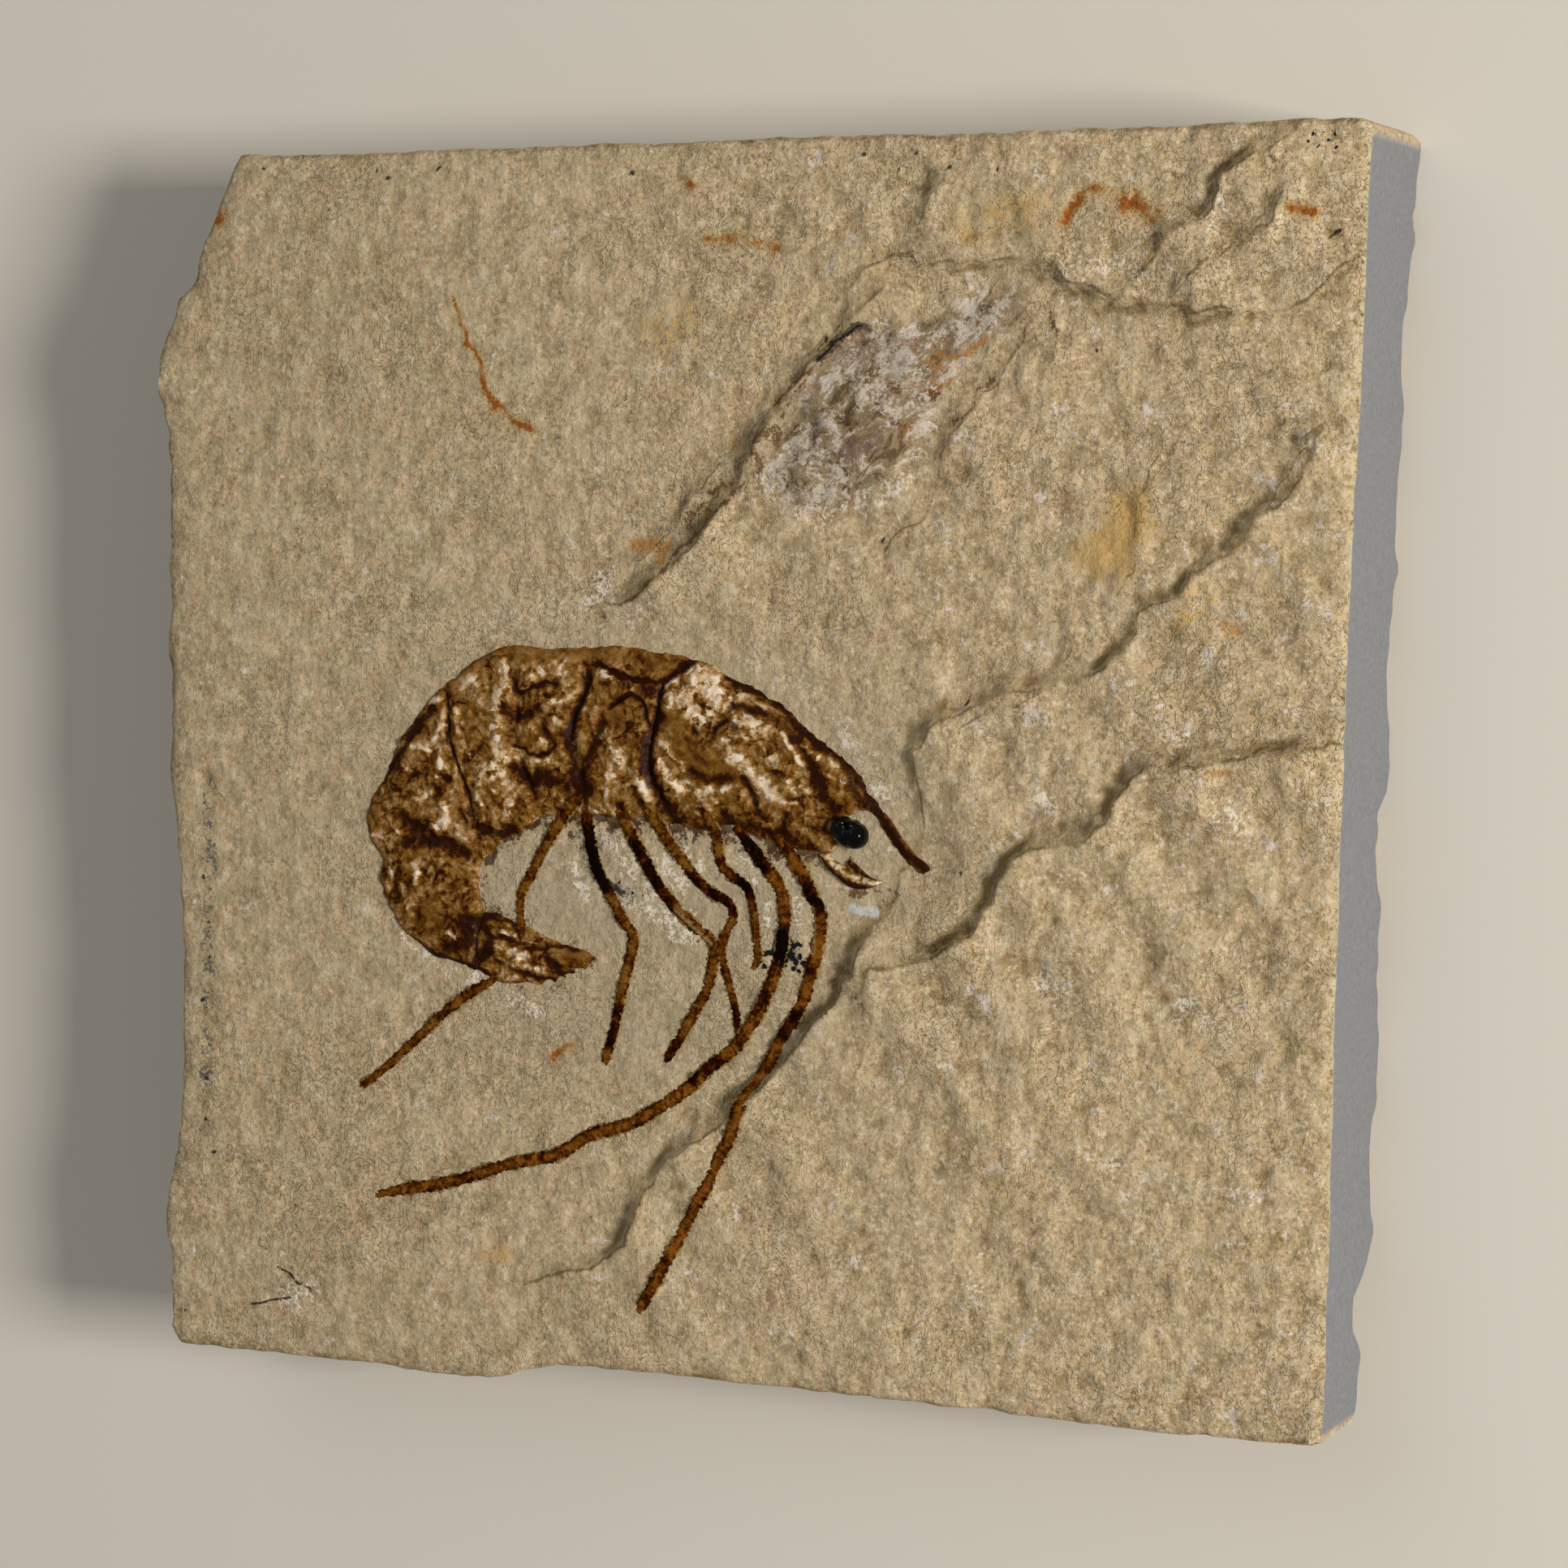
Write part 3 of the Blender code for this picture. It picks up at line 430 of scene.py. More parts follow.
# Round black dots: x, y and radius. The first 21 are the star on the long feeler
DOTS = [
    (5.15, -13.7, 0.95), (5.6, -13.0, 0.3), (4.7, -13.2, 0.25), (4.3, -14.0, 0.28), (4.0, -14.1, 0.22),
    (3.65, -14.2, 0.26), (6.0, -13.5, 0.32), (6.35, -13.4, 0.25), (6.7, -13.5, 0.16), (5.9, -14.3, 0.32),
    (6.25, -14.7, 0.32), (6.6, -14.3, 0.2), (6.9, -14.8, 0.3), (6.1, -15.3, 0.24), (6.5, -15.5, 0.2),
    (5.4, -14.6, 0.3), (5.3, -15.1, 0.22), (3.6, -15.2, 0.2), (3.9, -15.6, 0.14), (4.3, -14.8, 0.16),
    (3.4, -14.8, 0.12), (-9.0, -9.3, 0.12), (-7.8, -10.0, 0.12), (-6.9, -10.1, 0.09), (-11.9, -5.5, 0.14),
    (-12.4, -6.7, 0.12), (46.6, 48.1, 0.14), (47.3, 48.3, 0.1), (48.1, 48.2, 0.16), (47.7, 47.7, 0.11),
    (48.3, 47.1, 0.14), (47.0, 47.3, 0.1), (46.2, 47.6, 0.12),
]
# Where small dark specks lie
SPECKS = [
    (-41.5, 47), (-31, 47), (-30, 46.3), (-27, 47.3), (-25.5, 47), (-8.6, 46.4), (3.3, 47), (10.7, 47.5),
    (13.8, 46.2), (14.6, 47), (15.3, 47.3), (18, 46.2), (19, 46.8), (22, 46), (48.5, 41), (47.9, 40.6),
    (29.9, 32.2), (13.2, 18), (-0.8, 18), (20.2, 5.9), (19.8, -7.3), (-48, -46.3), (-2.2, -13.5), (8.2, 33.4),
    (7.4, 32.6), (9.1, 34.2), (-45.6, -8), (-46.2, -14), (-45.9, -17), (-46.4, -20.5), (-45.7, -24),
    (-46.1, -27), (-46.3, -30.5), (-45.8, -45), (-46.6, -10.5), (-45.4, -33),
]
# Painted shadow in the crack under a ledge, wider where the ledge is high. The last two are too soft to have
# one
LEDGE_SHADOW_LINES = [(0.04 + 0.06 * min(rise / 0.6, 1), line) for rise, _, _, line in FACE_LEDGES[:-2]]
# A small bluish white scar below the head
CHIP = [(0.3, [(11.0, -10.3), (12.0, -10.5), (12.7, -10.5)])]

# Soft marks, each stroke with its half width, its strength and its line. Torn shreds of shell hang under
# the belly, and the others are named for their colour, for what lies there, or for the painted shade or light
# that they add. Some umber and mauve strokes are painted shade beside ledges
BELLY = [
    (-20.6, -7.9), (-19.2, -6.2), (-17, -5.0), (-15.9, -4.2), (-12, -4.0), (-8, -4.1), (-4, -4.4), (0, -4.5),
    (1.9, -4.8), (4, -5.5), (6, -5.95), (8, -6.15),
]
chance = np.random.default_rng(7)
SHREDS = [(chance.uniform(0.14, 0.26), chance.uniform(0.5, 1),
           [root, root + (chance.uniform(0, 1.0), -chance.uniform(0.4, 1.8))])
          for root in curve(BELLY[3:], 0.6)] + [(0.5, 1, BELLY)]
UMBER = [
    # The stroke below and the first one on the next line are painted shade on the low side of the ledge from
    # (-12, 13)
    (0.22, 0.9, [(-9, 12.8), (-6.5, 14), (-4, 16.8), (-2, 18.6), (0, 20.6), (2, 22.5)]),
    (0.9, 0.55, [(-3.4, 18.8), (-0.6, 21.6), (2, 24.2)]), (0.55, 1, [(2.7, 24.4), (3.1, 23.8), (2.8, 22.9)]),
    (0.45, 1, [(3.2, 26), (4.5, 26.3), (4.2, 25.2)]), (0.22, 0.9, [(3.5, 27.5), (5, 29.5), (6.5, 31)]),
    (0.25, 0.9, [(4.5, 27.3), (6.2, 29.5), (7.2, 31)]), (0.4, 0.9, [(-11.6, 11.5), (-10.6, 11.7)]),
    (0.5, 0.8, [(9.6, 27.1), (11.2, 27)]), (0.5, 0.85, [(13, 27.6), (14.8, 26.8)]),
    (0.4, 0.7, [(8.1, 26.2), (8.6, 25.8)]), (0.5, 0.7, [(16, 28.6), (17.4, 29.4)]),
    (0.3, 0.7, [(8.5, 22), (11.4, 22.3)]), (0.3, 0.6, [(10, 29.4), (11.6, 31.8)]),
    # The stroke below and the first one on the next line are painted shadow along the ledges on the bulge's
    # right
    (0.25, 0.8, [(18.6, 27), (19.8, 28), (20.8, 29.4), (22, 30.6)]),
    (0.3, 0.6, [(26.5, 32), (26.6, 34.5), (26, 36)]), (0.35, 0.6, [(-8.3, 36.3), (-7.9, 36.1)]),
    (0.3, 0.6, [(0.4, 19.6), (0.7, 19.5)]),
    (0.6, 0.65, [(-20, -7), (-16.5, -4.8), (-12.4, -4.5), (-6, -4.6), (-1, -5.0), (5, -6.4), (8, -6.8)]),
    (0.5, 0.6, [(-20.8, -9), (-21, -11.4), (-17, -12.8)]), (0.5, 0.6, [(10.4, -6.2), (11.2, -7.2)]),
    (0.45, 0.75, [(10.9, -9.3), (12, -9.3)]),
    (0.5, 0.5, [(-13.6, -14.4), (-11, -15.2), (-13.6, -17.5), (-18, -18.2)]),
]
TAN = [
    (0.7, 0.75, [(40.4, 12.4), (41.2, 11.6)]), (0.4, 0.7, [(38.8, 7.2), (40, 6.6)]),
    (0.3, 0.9, [(39.8, 1.2), (41.5, 1)]), (0.9, 1, [(-7.6, 17.4), (-5.2, 17.1)]),
    (0.5, 0.9, [(-5.6, 16.2), (-4.8, 17.6)]), (0.6, 0.7, [(0.4, 25.3), (1.4, 24.8)]),
    (0.3, 1, [(16, 32.3), (17, 31.4), (18.6, 31.2)]), (0.3, 1, [(17.4, 32.2), (19.4, 32), (20.9, 33.3)]),
    (0.3, 0.9, [(15.2, 30.4), (16.4, 29.2), (18.4, 30)]), (0.3, 0.9, [(14.8, 26.2), (15.8, 27.2)]),
]
MAUVE = [
    (1.3, 0.9, [(10.2, 24.6), (12.6, 25.6)]), (1.0, 0.7, [(9.6, 31.2), (11.6, 32.6)]),
    # The second stroke on the line below is painted shade beside the ledge on the bulge's right
    (0.9, 0.6, [(13, 29.8), (14.6, 29.4)]), (1.2, 0.5, [(17.9, 22.6), (18.2, 26)]),
    (0.8, 0.5, [(-3.5, 20.6), (-1.6, 22)]),
]
OCHRE = [
    (1.8, 0.5, [(-20.5, -39.5), (-18.5, -39.7)]), (3.5, 0.7, [(31, 17), (33, 20)]),
    (4, 0.5, [(-6, 34), (-4, 35)]), (3, 0.5, [(38, 12), (39, 14)]), (3, 0.5, [(20, 42), (26, 43)]),
    (3, 0.4, [(22, -30), (25, -33)]), (4, 0.4, [(38, -20), (40, -25)]),
]
CHALK = [
    (0.7, 1, [(-11.6, 13), (-10.9, 14), (-10.4, 15)]),
    (1.1, 1, [(4.2, 22.9), (5.4, 24), (7, 24.2), (8.4, 23.6), (9.8, 23.4)]),
    (0.8, 0.9, [(4.8, 22), (5.6, 21.2), (6.6, 20.2), (8, 20)]),
    (0.9, 0.9, [(7.6, 21.7), (10, 21.6), (12.2, 20.9)]), (0.8, 1, [(5.8, 25.2), (7.4, 26.4), (9.2, 27.1)]),
    (1.1, 1, [(12.4, 33.7), (13.2, 32.2), (14, 31), (15, 30.4)]), (0.5, 1, [(12.8, 33.8), (15.4, 33.7)]),
    (0.6, 0.9, [(14.8, 32.2), (16, 31)]), (1.1, 0.9, [(11.6, 29.4), (13.4, 28.7)]),
    (0.9, 1, [(18.6, 33.9), (19.6, 34.9), (20.6, 35.4)]), (0.5, 0.95, [(21.4, 34.5), (22.4, 36.2)]),
    (0.9, 0.9, [(10, 30.8), (12.4, 30.2)]), (0.4, 0.8, [(16, 27.1), (17, 26.4)]),
    (0.5, 0.7, [(8.6, 24.8), (9.4, 25.6)]), (0.4, 0.8, [(17, 33.4), (18, 33.6)]),
    (0.6, 0.6, [(13.6, 22), (15.4, 23)]), (0.5, 0.6, [(15.6, 24.4), (16.6, 25)]),
    (0.9, 0.6, [(26.6, -15.4), (28, -16.2)]), (1.0, 0.6, [(38, -16.2), (39.4, -17.2)]),
    (0.9, 0.6, [(40.8, -1.8), (42, -2.6)]), (0.6, 0.6, [(36.4, 3.8), (37.2, 2.8)]),
    (0.6, 0.6, [(35, 6.6), (36, 6)]), (0.6, 0.6, [(26.4, -1.4), (27.2, -2)]),
    (0.8, 0.55, [(31, -28), (32.4, -29)]), (0.8, 0.55, [(42, -30), (43, -31)]),
    (0.7, 0.5, [(20, -38), (21.4, -39)]), (0.9, 0.75, [(-38, -44.6), (-36.9, -44)]),
    (0.45, 0.7, [(-28.9, -13.2), (-27.2, -15.2), (-25, -16.4)]), (0.5, 0.7, [(-23.8, -17.2), (-21.2, -17.6)]),
    (0.6, 0.45, [(-18.5, -18.7), (-16, -19.8)]), (0.4, 0.8, [(12.3, 0.2), (12.6, -0.8), (13.8, -2.0)]),
    (1.6, 0.16, [(-20.5, 11.2), (-14, 12), (-6, 12.5)]), (1.0, 0.2, [(2, 9), (6, 7), (10, 3.5), (12.6, 0.6)]),
    (0.8, 0.8, [(-10.3, -5.6), (-8.4, -7.4), (-7.2, -9)]),
    (0.9, 0.9, [(-8.4, -9.8), (-5.6, -11), (-3.4, -12.9)]), (0.4, 0.8, [(-3.6, -11), (-1.4, -12.6)]),
    (0.6, 0.7, [(-12.8, -8), (-11.8, -10.4)]), (0.5, 0.75, [(-3.6, -6.4), (-1.4, -8.2)]),
    (0.6, 0.8, [(-5.8, -6.6), (-3.4, -9.4)]), (0.5, 0.7, [(0.9, -6.6), (2.6, -8.2)]),
    (0.4, 0.6, [(3.7, -10.4), (3.8, -13)]), (0.35, 0.6, [(6.3, -10), (6.4, -12.4)]),
    (1.2, 0.28, [(27.5, 38.3), (31, 38.9), (33, 38.4)]),
]
# Painted shadow along the bulge's upper left rim, round the black strokes there
BULGE_RIM_SHADOW = [(0.45, 0.9, [(7.6, 31.6), (8.5, 32.6), (10, 34), (11.8, 34.2)])]
# Paler along the slab's rims: wear on the broken edges, and along the sawn edge also a painted highlight where
# the worn rim turns to the lamp
WORN_AND_LIT_RIMS = [(0.8, 0.75, SAWN_EDGE), (0.5, 0.6, LEFT_EDGE), (0.5, 0.5, TOP_EDGE), (0.5, 0.6, BOTTOM_EDGE)]
SOOT = [
    (0.4, 0.6, [(-12.4, -5.6), (-12.1, -7.6)]), (0.6, 0.75, [(-11.6, -8), (-10.2, -9.4)]),
    (0.7, 0.6, [(-9.6, -9.4), (-7.4, -10.2)]), (0.5, 0.5, [(-10.8, -5.6), (-10.2, -7.4)]),
    (0.4, 0.7, [(-4.2, -5.2), (-2.8, -5.8)]), (0.5, 0.6, [(-1, -8.2), (1.2, -8.4)]),
    (1.2, 0.35, [(4.4, -13), (6.6, -14)]), (0.7, 0.5, [(-46, -2), (-46.2, -32)]),
    (1.0, 0.45, [(13.2, -9.6), (14.8, -9)]), (0.5, 0.6, [(1.2, -6.2), (2, -5.6)]),
]
PREPARED = [
    (7.5, 1, [(-24, -3), (-14, 3), (0, 2), (10, -2)]), (6.5, 1, [(-22, -11), (-8, -11), (4, -10)]),
    (5, 0.8, [(-18, -20), (-4, -20), (6, -18)]), (4, 0.7, [(14, -3), (13, -9)]),
]


def ledge_shade(spots, rise, points):
    """How near each spot lies to a ledge on its low side, where painted shade is laid: more so under a high
    ledge.
    """
    right = nearest(spots, curve(points, 1.0))[0]
    return min(rise / 0.7, 1) * np.exp(np.minimum(right, 0) / 0.7) * (right < 0.15)


FAR = 1e3              # a distance that stands for no stroke near


def crisp(spots, strokes):
    """The way from the nearest stroke to each spot in the stroke's half widths, and how long it is."""
    way = np.full((len(spots), 3), FAR)
    length = np.full(len(spots), FAR)
    for half_width, points in strokes:
        right, _, dx, dy = nearest(spots, curve(points, 0.8))
        reached = np.abs(right) / half_width
        closer = reached < length
        length[closer] = reached[closer]
        way[closer] = np.column_stack([dx, dy, np.zeros(len(dx))])[closer] / half_width
    return way, length


face_spots = slab_corners[:face_count, :2]
wandering = wander(face_spots)
beyond = len(slab_corners) - face_count
speck_strokes = [(0.08 + 0.035 * (i % 3), [(x, y), (x + 0.1, y + 0.14)]) for i, (x, y) in enumerate(SPECKS)]
for title, strokes in (("rust", RUST), ("ink", INK + speck_strokes), ("ledge_shadow_line", LEDGE_SHADOW_LINES), ("chip", CHIP)):
    way, length = crisp(wandering, strokes)
    mark(slab, title + "_way", np.vstack([way, np.full((beyond, 3), FAR)]))
    mark(slab, title + "_far", np.concatenate([length, np.full(beyond, FAR)]))
for title, strokes in (("umber", UMBER), ("ochre", OCHRE), ("chalk", CHALK), ("soot", SOOT),
                       ("prepared", PREPARED), ("worn_and_lit_rim", WORN_AND_LIT_RIMS), ("tan", TAN), ("mauve", MAUVE),
                       ("bulge_rim_shadow", BULGE_RIM_SHADOW), ("shred", SHREDS)):
    mark(slab, title, np.concatenate([brushed(wandering, strokes), np.zeros(beyond)]))
# Painted shade on the low side of each ledge, strongest next to it
foot = np.max([ledge_shade(wandering, rise, points) for rise, _, _, points in FACE_LEDGES], axis=0)
mark(slab, "foot", np.concatenate([foot, np.zeros(beyond)]))
on_bulge = nearest(wandering, curve(BULGE_OUTLINE, 1.0))[0]
mark(slab, "bulge", np.concatenate([on_bulge, np.full(beyond, -FAR)]))
mark(slab, "sawn", on_sawn)
mark(slab, "hollow", hollow)


def linear(colour):
    """A hex colour in sRGB as linear light."""
    parts = [int(colour[i:i + 2], 16) / 255 for i in (1, 3, 5)]
    return (*[p / 12.92 if p <= 0.04045 else ((p + 0.055) / 1.055) ** 2.4 for p in parts], 1)


def add(tree, kind, inputs=(), **settings):
    """Adds a node with its settings, and with each input given as a value or as another node's output."""
    made = tree.nodes.new(kind)
    for name, value in settings.items():
        setattr(made, name, value)
    for key, value in dict(inputs).items():
        if isinstance(value, bpy.types.NodeSocket):
            tree.links.new(value, made.inputs[key])
        else:
            made.inputs[key].default_value = value
    return made.outputs


def new_material(name, finish):
    """A material with nodes, its tree and its Principled shader, with the even parts of its finish set."""
    made = bpy.data.materials.new(name)
    made.use_nodes = True
    shader = made.node_tree.nodes["Principled BSDF"]
    for socket, value in finish.items():
        shader.inputs[socket].default_value = value
    return made, made.node_tree, shader


# Split limestone: fine calcite mud gone hard. Matt and grainy, tan with grey, pink and olive clouds a few
# millimetres across, small chalky flecks, and iron and manganese stains that have no height.
limestone, tree, shader = new_material("split_limestone", {"Roughness": 0.88, "Specular IOR Level": 0.3,
                                                           "IOR": 1.5})
where = add(tree, "ShaderNodeTexCoord")["Object"]
place = add(tree, "ShaderNodeSeparateXYZ", {0: where})
to_right = add(tree, "ShaderNodeMapRange", {0: place["X"], 1: -0.035, 2: 0.035})[0]
cloud = add(tree, "ShaderNodeTexNoise", {"Vector": where, "Scale": 1000 / 11, "Detail": 3})[0]
mottle = add(tree, "ShaderNodeTexNoise", {"Vector": where, "Scale": 1000 / 2.0, "Detail": 9,
                                          "Roughness": 0.7})[0]
hue = add(tree, "ShaderNodeTexNoise", {"Vector": where, "Scale": 1000 / 1.7, "Detail": 9, "Roughness": 0.72})
grain = add(tree, "ShaderNodeTexNoise", {"Vector": where, "Scale": 1000 / 0.55, "Detail": 4,
                                         "Roughness": 0.7})[0]
bent = add(tree, "ShaderNodeVectorMath", {0: hue[1], 1: (0.0009, 0.0009, 0.0009), 2: where},
           operation="MULTIPLY_ADD")[0]
chips = add(tree, "ShaderNodeTexVoronoi", {"Vector": bent, "Scale": 1000 / 1.0})
# Paler and warmer towards the right: partly the stone's own colour, partly painted light growing towards the
# lamp
warmth_and_light = add(tree, "ShaderNodeMath", {0: to_right, 1: 0.55, 2: cloud}, operation="MULTIPLY_ADD")[0]
warmth_and_light = add(tree, "ShaderNodeMapRange", {0: warmth_and_light, 1: 0.4, 2: 1.05})[0]
tint = add(tree, "ShaderNodeMix", {0: warmth_and_light, 6: linear("#B09E7D"), 7: linear("#C9B087")}, data_type="RGBA")[2]
crisp_grain = add(tree, "ShaderNodeTexNoise", {"Vector": where, "Scale": 1000 / 0.4, "Detail": 5,
                                               "Roughness": 0.75})[0]
pale_most = add(tree, "ShaderNodeMapRange", {0: to_right, 3: 0.45, 4: 0.85})[0]
for field, low, high, most, colour in (
        (hue[0], 0.53, 0.6, 0.65, "#CFAA86"),               # pink clouds
        (hue[0], 0.47, 0.39, 0.6, "#9C8E66"),               # olive clouds
        (mottle, 0.48, 0.41, 0.5, "#8E7B5C"),               # dark mottles
        (mottle, 0.54, 0.61, 0.55, "#D9C9AB"),              # pale mottles
        (crisp_grain, 0.46, 0.39, 0.85, "#85724A"),         # dark grains
        (crisp_grain, 0.54, 0.62, pale_most, "#E6DDCB")):   # pale grains, denser to the right
    share = add(tree, "ShaderNodeMapRange", {0: field, 1: low, 2: high, 4: most})[0]
    tint = add(tree, "ShaderNodeMix", {0: share, 6: tint, 7: linear(colour)}, data_type="RGBA")[2]

# Thin flakes broken away in steps, each step a shade paler
layered = add(tree, "ShaderNodeVectorMath", {0: where, 1: (1, 0.6, 1)}, operation="MULTIPLY")[0]
layered = add(tree, "ShaderNodeTexNoise", {"Vector": layered, "Scale": 1000 / 1.5, "Detail": 5,
                                           "Roughness": 0.6})[0]
flakes = add(tree, "ShaderNodeMapRange", {0: layered, 1: 0.36, 2: 0.38})[0]
for level in (0.45, 0.53, 0.61):
    step = add(tree, "ShaderNodeMapRange", {0: layered, 1: level, 2: level + 0.02})[0]
    flakes = add(tree, "ShaderNodeMath", {0: flakes, 1: step}, operation="ADD")[0]
step = add(tree, "ShaderNodeMath", {0: flakes, 1: 0.09}, operation="MULTIPLY")[0]
tint = add(tree, "ShaderNodeMix", {0: step, 6: tint, 7: linear("#E2D4B4")}, data_type="RGBA")[2]

# Chalky flecks, denser to the right, and the greyer ground that was scraped clean round the animal
fleck_field = add(tree, "ShaderNodeTexNoise", {"Vector": where, "Scale": 1000 / 1.6, "Detail": 7,
                                               "Roughness": 0.74})[0]
patchy = add(tree, "ShaderNodeTexNoise", {"Vector": where, "Scale": 1000 / 3.0, "Detail": 3})[0]
fleck_from = add(tree, "ShaderNodeMapRange", {0: to_right, 3: 0.92, 4: 0.86})[0]
fleck_from = add(tree, "ShaderNodeMath", {0: patchy, 1: -0.5, 2: fleck_from}, operation="MULTIPLY_ADD")[0]
fleck = add(tree, "ShaderNodeMath", {0: fleck_field, 1: fleck_from}, operation="SUBTRACT")[0]
fleck = add(tree, "ShaderNodeMapRange", {0: fleck, 1: 0.0, 2: 0.05, 4: 0.75})[0]
tint = add(tree, "ShaderNodeMix", {0: fleck, 6: tint, 7: linear("#E3DAD2")}, data_type="RGBA")[2]
scraped = add(tree, "ShaderNodeAttribute", attribute_name="prepared")["Fac"]
scraped = add(tree, "ShaderNodeMath", {0: scraped, 1: 0.55}, operation="MULTIPLY")[0]
tint = add(tree, "ShaderNodeMix", {0: scraped, 6: tint, 7: linear("#AFA38A")}, data_type="RGBA")[2]

# Darkening in the hollows, partly brown dirt and partly painted shade, and painted shade on the low side of the
# ledges
for dirt_and_shade_place, low, high, most, colour in (("hollow", 0.01, 0.16, 0.7, "#78602F"),
                                               ("foot", 0.1, 0.9, 0.45, "#806A36")):
    dirt_and_shade = add(tree, "ShaderNodeAttribute", attribute_name=dirt_and_shade_place)["Fac"]
    dirt_and_shade = add(tree, "ShaderNodeMapRange", {0: dirt_and_shade, 1: low, 2: high, 4: most})[0]
    tint = add(tree, "ShaderNodeMix", {0: dirt_and_shade, 6: tint, 7: linear(colour)}, data_type="RGBA")[2]

# The rough bulge: chalk and mauve in turn, with rust in its seams
bulge_in = add(tree, "ShaderNodeAttribute", attribute_name="bulge")["Fac"]
bulge_in = add(tree, "ShaderNodeMapRange", {0: bulge_in, 1: -0.6, 2: 1.2})[0]
bulge_grain = add(tree, "ShaderNodeVectorRotate", {"Vector": where, "Angle": 0.9}, rotation_type="Z_AXIS")[0]
bulge_grain = add(tree, "ShaderNodeVectorMath", {0: bulge_grain, 1: (1, 0.5, 1)}, operation="MULTIPLY")[0]
bulge_field = add(tree, "ShaderNodeTexNoise", {"Vector": bulge_grain, "Scale": 1000 / 1.5, "Detail": 9,
                                               "Roughness": 0.76, "Distortion": 0.8})[0]
bulge_tint = linear("#B39D7B")
for field, low, high, most, colour in ((bulge_field, 0.53, 0.555, 0.95, "#F6E9DE"),    # chalk
                                       (bulge_field, 0.46, 0.43, 0.85, "#634928"),     # seams
                                       (hue[0], 0.55, 0.6, 0.55, "#9A6E48")):          # rust
    share = add(tree, "ShaderNodeMapRange", {0: field, 1: low, 2: high, 4: most})[0]
    bulge_tint = add(tree, "ShaderNodeMix", {0: share, 6: bulge_tint, 7: linear(colour)}, data_type="RGBA")[2]
bulge_share = add(tree, "ShaderNodeMath", {0: bulge_in, 1: 0.92}, operation="MULTIPLY")[0]
tint = add(tree, "ShaderNodeMix", {0: bulge_share, 6: tint, 7: bulge_tint}, data_type="RGBA")[2]

# Soft stains: each attribute is broken up by the grain before it colours the stone. Each has a colour, a
# weight, and how strongly the grain breaks it up
broken = add(tree, "ShaderNodeMath", {0: fleck_field, 1: crisp_grain}, operation="ADD")[0]
broken = add(tree, "ShaderNodeMath", {0: broken, 1: 0.5, 2: -0.5}, operation="MULTIPLY_ADD")[0]
for stain, colour, weight, spread in (
        ("ochre", "#C9A565", 1.0, 1.8), ("mauve", "#94796A", 0.8, 4.0), ("tan", "#B98548", 0.85, 3.6),
        ("umber", "#5F3C14", 0.85, 4.0), ("chalk", "#EEE2D4", 0.62, 9.0), ("soot", "#4C5254", 0.75, 5.0),
        ("bulge_rim_shadow", "#33291C", 0.9, 3.0), ("worn_and_lit_rim", "#D3C3A2", 0.9, 3.0), ("shred", "#43260C", 1.0, 4.0)):
    amount = add(tree, "ShaderNodeAttribute", attribute_name=stain)["Fac"]
    held = add(tree, "ShaderNodeMapRange", {0: amount, 1: 0.05, 2: 0.3})[0]
    amount = add(tree, "ShaderNodeMath", {0: amount, 1: weight}, operation="MULTIPLY")[0]
    amount = add(tree, "ShaderNodeMath", {0: broken, 1: spread, 2: amount}, operation="MULTIPLY_ADD")[0]
    amount = add(tree, "ShaderNodeMapRange", {0: amount, 1: 0.46, 2: 0.58, 4: 0.85})[0]
    amount = add(tree, "ShaderNodeMath", {0: amount, 1: held}, operation="MULTIPLY")[0]
    tint = add(tree, "ShaderNodeMix", {0: amount, 6: tint, 7: linear(colour)}, data_type="RGBA")[2]

# Crisp marks: painted shadow in the cracks under the ledges, rust streaks, the white scar and black strokes.
# Each has a colour, how far its rim wavers, the half widths at which it starts and is full, its strength, and
# which patches show it
edge_noise = add(tree, "ShaderNodeTexNoise", {"Vector": where, "Scale": 1000 / 0.35, "Detail": 3})[0]
for stain, colour, wobble, outer, inner, strength, low, high in (
        # The first row is painted shadow under the ledges
        ("ledge_shadow_line", "#574522", 3.0, 1.6, 0.6, 0.62, 0.42, 0.54),
        ("rust", "#B58A3C", 3.0, 2.4, 0.9, 0.6, 0.3, 0.45), ("rust", "#9A5004", 3.0, 1.2, 0.5, 0.9, 0.38, 0.5),
        ("chip", "#CFD2D6", 1.0, 1.5, 0.8, 0.9, 0, 0.1), ("ink", "#120D10", 2.6, 1.5, 0.8, 0.9, 0.3, 0.4)):
    way = add(tree, "ShaderNodeAttribute", attribute_name=stain + "_way")["Vector"]
    exact = add(tree, "ShaderNodeVectorMath", {0: way}, operation="LENGTH")["Value"]
    rough = add(tree, "ShaderNodeAttribute", attribute_name=stain + "_far")["Fac"]
    rough = add(tree, "ShaderNodeMath", {0: rough, 1: 1.2}, operation="SUBTRACT")[0]
    away = add(tree, "ShaderNodeMath", {0: exact, 1: rough}, operation="MAXIMUM")[0]
    jitter = add(tree, "ShaderNodeMath", {0: edge_noise, 1: 0.5}, operation="SUBTRACT")[0]
    away = add(tree, "ShaderNodeMath", {0: jitter, 1: wobble, 2: away}, operation="MULTIPLY_ADD")[0]
    amount = add(tree, "ShaderNodeMapRange", {0: away, 1: outer, 2: inner, 4: strength})[0]
    shown = add(tree, "ShaderNodeMapRange", {0: patchy, 1: low, 2: high})[0]
    amount = add(tree, "ShaderNodeMath", {0: amount, 1: shown}, operation="MULTIPLY")[0]
    tint = add(tree, "ShaderNodeMix", {0: amount, 6: tint, 7: linear(colour)}, data_type="RGBA")[2]

